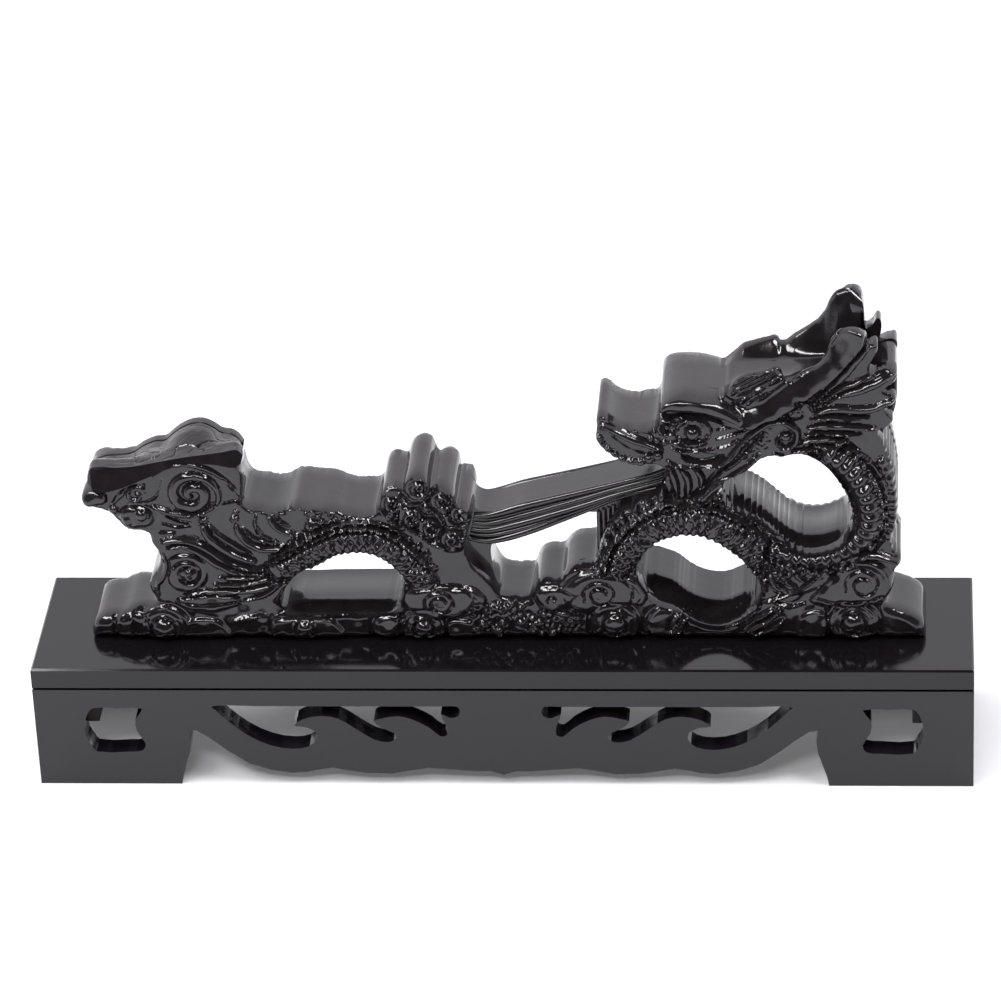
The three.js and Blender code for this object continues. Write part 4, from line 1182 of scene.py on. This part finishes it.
# %% Shader helper
class Signal:
    """A value inside a material's node tree."""

    def __init__(self, paint, socket):
        self.paint = paint
        self.socket = socket

    def maths(self, operation, *others, swap=False):
        terms = [*others, self] if swap else [self, *others]
        node = self.paint.node("ShaderNodeMath", {"operation": operation}, dict(enumerate(terms)))
        return Signal(self.paint, node.outputs[0])

    def __add__(self, other):
        return self.maths("ADD", other)

    def __radd__(self, other):
        return self.maths("ADD", other)

    def __sub__(self, other):
        return self.maths("SUBTRACT", other)

    def __rsub__(self, other):
        return self.maths("SUBTRACT", other, swap=True)

    def __mul__(self, other):
        return self.maths("MULTIPLY", other)

    def __rmul__(self, other):
        return self.maths("MULTIPLY", other)

    def between(self, low, high):
        """0 below low, 1 above high, and an even slope in between."""
        node = self.paint.node("ShaderNodeMapRange", {"clamp": True},
                               {"Value": self, "From Min": low, "From Max": high})
        return Signal(self.paint, node.outputs["Result"])


class Paint:
    """One material: a Principled surface and the few nodes that feed it."""

    def __init__(self, name, **uniform):
        self.material = bpy.data.materials.new(name)
        self.material.use_nodes = True
        self.tree = self.material.node_tree
        self.surface = next(n for n in self.tree.nodes if n.type == "BSDF_PRINCIPLED")
        for socket, value in uniform.items():
            self.surface.inputs[socket.replace("_", " ")].default_value = value
        self.place = self.node("ShaderNodeTexCoord").outputs["Object"]

    def node(self, kind, settings=None, inputs=None):
        """A node of any kind, with its settings, and its inputs given as numbers, sockets or signals."""
        node = self.tree.nodes.new(kind)
        for setting, value in (settings or {}).items():
            setattr(node, setting, value)
        for name, value in (inputs or {}).items():
            value = value.socket if isinstance(value, Signal) else value
            if isinstance(value, bpy.types.NodeSocket):
                self.tree.links.new(value, node.inputs[name])
            else:
                node.inputs[name].default_value = value
        return node

    def noise(self, scale, detail=3.0, stretch=(1, 1, 1), rough=0.5):
        """Noise from 0 to 1 with `scale` spots to the metre, drawn out along an axis by a small stretch."""
        mapped = self.node("ShaderNodeMapping", {}, {"Vector": self.place, "Scale": stretch})
        made = self.node("ShaderNodeTexNoise", {"noise_dimensions": "3D"},
                         {"Vector": mapped.outputs[0], "Scale": scale, "Detail": detail, "Roughness": rough})
        return Signal(self, made.outputs["Fac"])

    def pits(self, scale, size):
        """1 in small round pits and 0 elsewhere: cell centres closer than `size`."""
        made = self.node("ShaderNodeTexVoronoi", {"feature": "F1"}, {"Vector": self.place, "Scale": scale})
        return 1.0 - Signal(self, made.outputs["Distance"]).between(0.3 * size, size)

    def colour(self, fac, dark, light):
        mix = self.node("ShaderNodeMix", {"data_type": "RGBA"}, {0: fac, 6: (*dark, 1), 7: (*light, 1)})
        return mix.outputs[2]

    def feed(self, socket, value):
        value = value.socket if isinstance(value, Signal) else value
        self.tree.links.new(value, self.surface.inputs[socket])

    def bump(self, height, strength, distance_mm):
        node = self.node("ShaderNodeBump", {}, {"Height": height, "Strength": strength,
                                                "Distance": distance_mm * MM})
        self.feed("Normal", Signal(self, node.outputs["Normal"]))


def coat(piece, paint):
    """Give a piece its finish, in each slot it has, or in a new one if it has none."""
    if piece.data.materials:
        for k in range(len(piece.data.materials)):
            piece.material_slots[k].material = paint.material
    else:
        piece.data.materials.append(paint.material)


print("shader helper ready")

# %% [markdown]
# ## The finishes
#
# The dragon is moulded and dipped in gloss black, so its surface is liquid smooth, with fine pull marks
# along the walls and a few pinholes. The board is black lacquer, polished until it mirrors. The aprons have
# a thinner coat that shows the strokes of the brush. The blocks inside are wood coloured near black as
# painted shade for the shaded inside of the stand, and the screws are zinc on steel.


# %% Mixing the finishes
def mix_resin():
    p = Paint("gloss_black_resin", Base_Color=(0.012, 0.012, 0.013, 1), Roughness=0.12, IOR=1.55)
    mottle = p.noise(140, 4)
    pull = p.noise(900, 2, (1, 0.05, 1))
    pinholes = p.pits(420, 0.12) * p.noise(60, 2).between(0.56, 0.62)
    p.feed("Base Color", p.colour(mottle.between(0.35, 0.7), (0.0078, 0.0062, 0.0070),
                                  (0.0128, 0.0104, 0.0116)))
    p.feed("Roughness", 0.09 + 0.1 * mottle.between(0.4, 0.8) + 0.3 * pinholes)
    p.bump(0.35 * p.noise(220, 3) + 0.12 * pull - 0.5 * pinholes, 0.35, 0.5)
    return p


def mix_board():
    p = Paint("mirror_black_lacquer", Base_Color=(0.012, 0.012, 0.013, 1), Roughness=0.06, IOR=1.45)
    cloud = p.noise(30, 4)
    dust = p.pits(260, 0.05) * p.noise(45, 1).between(0.5, 0.6)
    p.feed("Base Color", p.colour(cloud, (0.0042, 0.0032, 0.0042), (0.0074, 0.0058, 0.0072)))
    p.feed("Roughness", 0.1 + 0.07 * cloud.between(0.4, 0.8) + 0.25 * dust)
    p.bump(0.5 * p.noise(55, 2) + 0.25 * dust, 0.12, 0.5)
    return p


def mix_apron():
    p = Paint("brushed_black_lacquer", Base_Color=(0.014, 0.013, 0.014, 1), Roughness=0.16, IOR=1.5)
    strokes = p.noise(260, 3, (0.12, 1, 1))
    p.feed("Base Color", p.colour(strokes, (0.0036, 0.0028, 0.0050), (0.0082, 0.0066, 0.0100)))
    p.feed("Roughness", 0.12 + 0.14 * strokes.between(0.4, 0.75))
    p.bump(0.4 * strokes + 0.5 * p.noise(60, 2), 0.2, 0.4)
    return p


def mix_bare_wood():
    """Wood that was never sanded, coloured near black as painted shade for the shaded inside of the stand."""
    # Painted shade: the base colour and both grain colours are kept near black so the blocks pass for the
    # shade inside the stand; only the grain pattern is the wood's own.
    p = Paint("wood_dark_as_painted_shade", Base_Color=(0.02, 0.016, 0.013, 1), Roughness=0.7)
    grain = p.noise(300, 5, (0.05, 1, 1))
    p.feed("Base Color", p.colour(grain, (0.012, 0.009, 0.008), (0.034, 0.026, 0.02)))
    p.feed("Roughness", 0.6 + 0.25 * grain)
    p.bump(grain, 0.4, 0.3)
    return p


def mix_zinc():
    p = Paint("zinc_steel", Base_Color=(0.55, 0.56, 0.57, 1), Roughness=0.35, Metallic=1.0)
    turned = p.noise(1500, 2, (1, 1, 0.1))
    p.feed("Base Color", p.colour(turned, (0.42, 0.43, 0.45), (0.66, 0.66, 0.66)))
    p.feed("Roughness", 0.28 + 0.2 * turned)
    p.bump(turned, 0.2, 0.1)
    return p


RESIN, BOARD, APRON, WOOD, ZINC = mix_resin(), mix_board(), mix_apron(), mix_bare_wood(), mix_zinc()
for piece in (front_carving, back_carving, core_body, cloud_crest, crown, *ribbon_front, *ribbon_back, *ribs,
              *floors):
    coat(piece, RESIN)
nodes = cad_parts
coat(nodes["top_board"], BOARD)
for name in ("front_apron", "rear_apron", "left_end_panel", "right_end_panel"):
    coat(nodes[name], APRON)
for name, node in nodes.items():
    if name.startswith("corner_block"):
        coat(node, WOOD)
    if "screw" in name:
        coat(node, ZINC)
print("finishes on", len(bpy.data.materials), "materials")

# %% [markdown]
# ## Floor, light and camera
#
# The stand sits on a plain white table. The room is bright all round, apart from a wide dim patch high up on
# the viewer's side. So a surface that faces forward mirrors the table and turns grey, a top mirrors the
# bright wall behind, and one that faces up and forward stays black. Three strip lamps draw the sparkles.

# %% Room
scene = bpy.context.scene
scene.view_settings.view_transform = "Standard"

floor_mesh = bpy.data.meshes.new("table_top")
floor_mesh.from_pydata([(-6, -6, 0), (6, -6, 0), (6, 6, 0), (-6, 6, 0)], [], [(0, 1, 2, 3)])
floor = bpy.data.objects.new("table_top", floor_mesh)
scene.collection.objects.link(floor)
white = Paint("white_table", Base_Color=(0.87, 0.87, 0.89, 1), Roughness=0.55, Emission_Strength=0.1,
              Emission_Color=(1, 1, 1, 1))
floor_mesh.materials.append(white.material)

room = bpy.data.worlds.new("room")
scene.world = room
room.use_nodes = True
links = room.node_tree.links
make = room.node_tree.nodes.new
background = next(n for n in room.node_tree.nodes if n.type == "BACKGROUND")
way = make("ShaderNodeTexCoord")
squeeze = make("ShaderNodeVectorMath")
squeeze.operation = "MULTIPLY"
squeeze.inputs[1].default_value = (0.5, 1.0, 1.0)
links.new(way.outputs["Generated"], squeeze.inputs[0])
unit = make("ShaderNodeVectorMath")
unit.operation = "NORMALIZE"
links.new(squeeze.outputs["Vector"], unit.inputs[0])
tilt = make("ShaderNodeVectorMath")
tilt.operation = "DOT_PRODUCT"
tilt.inputs[1].default_value = (0.0, -0.71, 0.704)
links.new(unit.outputs["Vector"], tilt.inputs[0])
height = make("ShaderNodeMapRange")
height.interpolation_type = "SMOOTHSTEP"
links.new(tilt.outputs["Value"], height.inputs["Value"])
for socket, value in (("From Min", 0.5), ("From Max", 0.78), ("To Min", 1.24), ("To Max", 0.05)):
    height.inputs[socket].default_value = value
links.new(height.outputs["Result"], background.inputs["Strength"])
background.inputs["Color"].default_value = (0.955, 0.945, 1.0, 1.0)


def softbox(name, place, aim, size, power):
    """A strip lamp that looks at a place, all in metres."""
    lamp = bpy.data.lights.new(name, "AREA")
    lamp.shape = "RECTANGLE"
    lamp.size, lamp.size_y, lamp.energy = *size, power
    box = bpy.data.objects.new(name, lamp)
    scene.collection.objects.link(box)
    box.location = place
    box.rotation_mode = "QUATERNION"
    box.rotation_quaternion = (Vector(aim) - Vector(place)).to_track_quat("-Z", "Y")
    return box


softbox("lamp_top_left", (-0.9, -0.5, 1.5), (0, 0, 0.1), (1.3, 0.34), 24)
softbox("lamp_top_right", (0.8, -0.4, 1.6), (0, 0, 0.1), (0.7, 0.26), 14)
softbox("lamp_front", (-0.3, -1.8, 1.9), (0, 0, 0.1), (0.9, 0.26), 18)
print("room ready")

# %% [markdown]
# ## The camera
#
# A long lens stands two metres off, a little above and to the right.


# %% Camera
def set_camera(azimuth, elevation, roll, target_mm, distance_mm, lens):
    """Stand at a distance from the target and look at it, the camera turned clockwise by `roll`."""
    az, el, tip = (math.radians(v) for v in (azimuth, elevation, roll))
    ahead = Vector((-math.sin(az) * math.cos(el), math.cos(az) * math.cos(el), -math.sin(el)))
    right = ahead.cross(Vector((0, 0, 1))).normalized()
    up = right.cross(ahead)
    data = bpy.data.cameras.new("camera")
    data.lens, data.sensor_width, data.clip_start, data.clip_end = lens, 36, 0.05, 60
    camera = bpy.data.objects.new("camera", data)
    scene.collection.objects.link(camera)
    x = right * math.cos(tip) + up * math.sin(tip)
    y = up * math.cos(tip) - right * math.sin(tip)
    turn = Matrix((x, y, -ahead)).transposed().to_4x4()
    camera.matrix_world = Matrix.Translation(Vector(target_mm) * MM - ahead * distance_mm * MM) @ turn
    scene.camera = camera


set_camera(5.263, 30.142, -2.706, (0.586, 0, 106.596), 1973.98, 186.578)
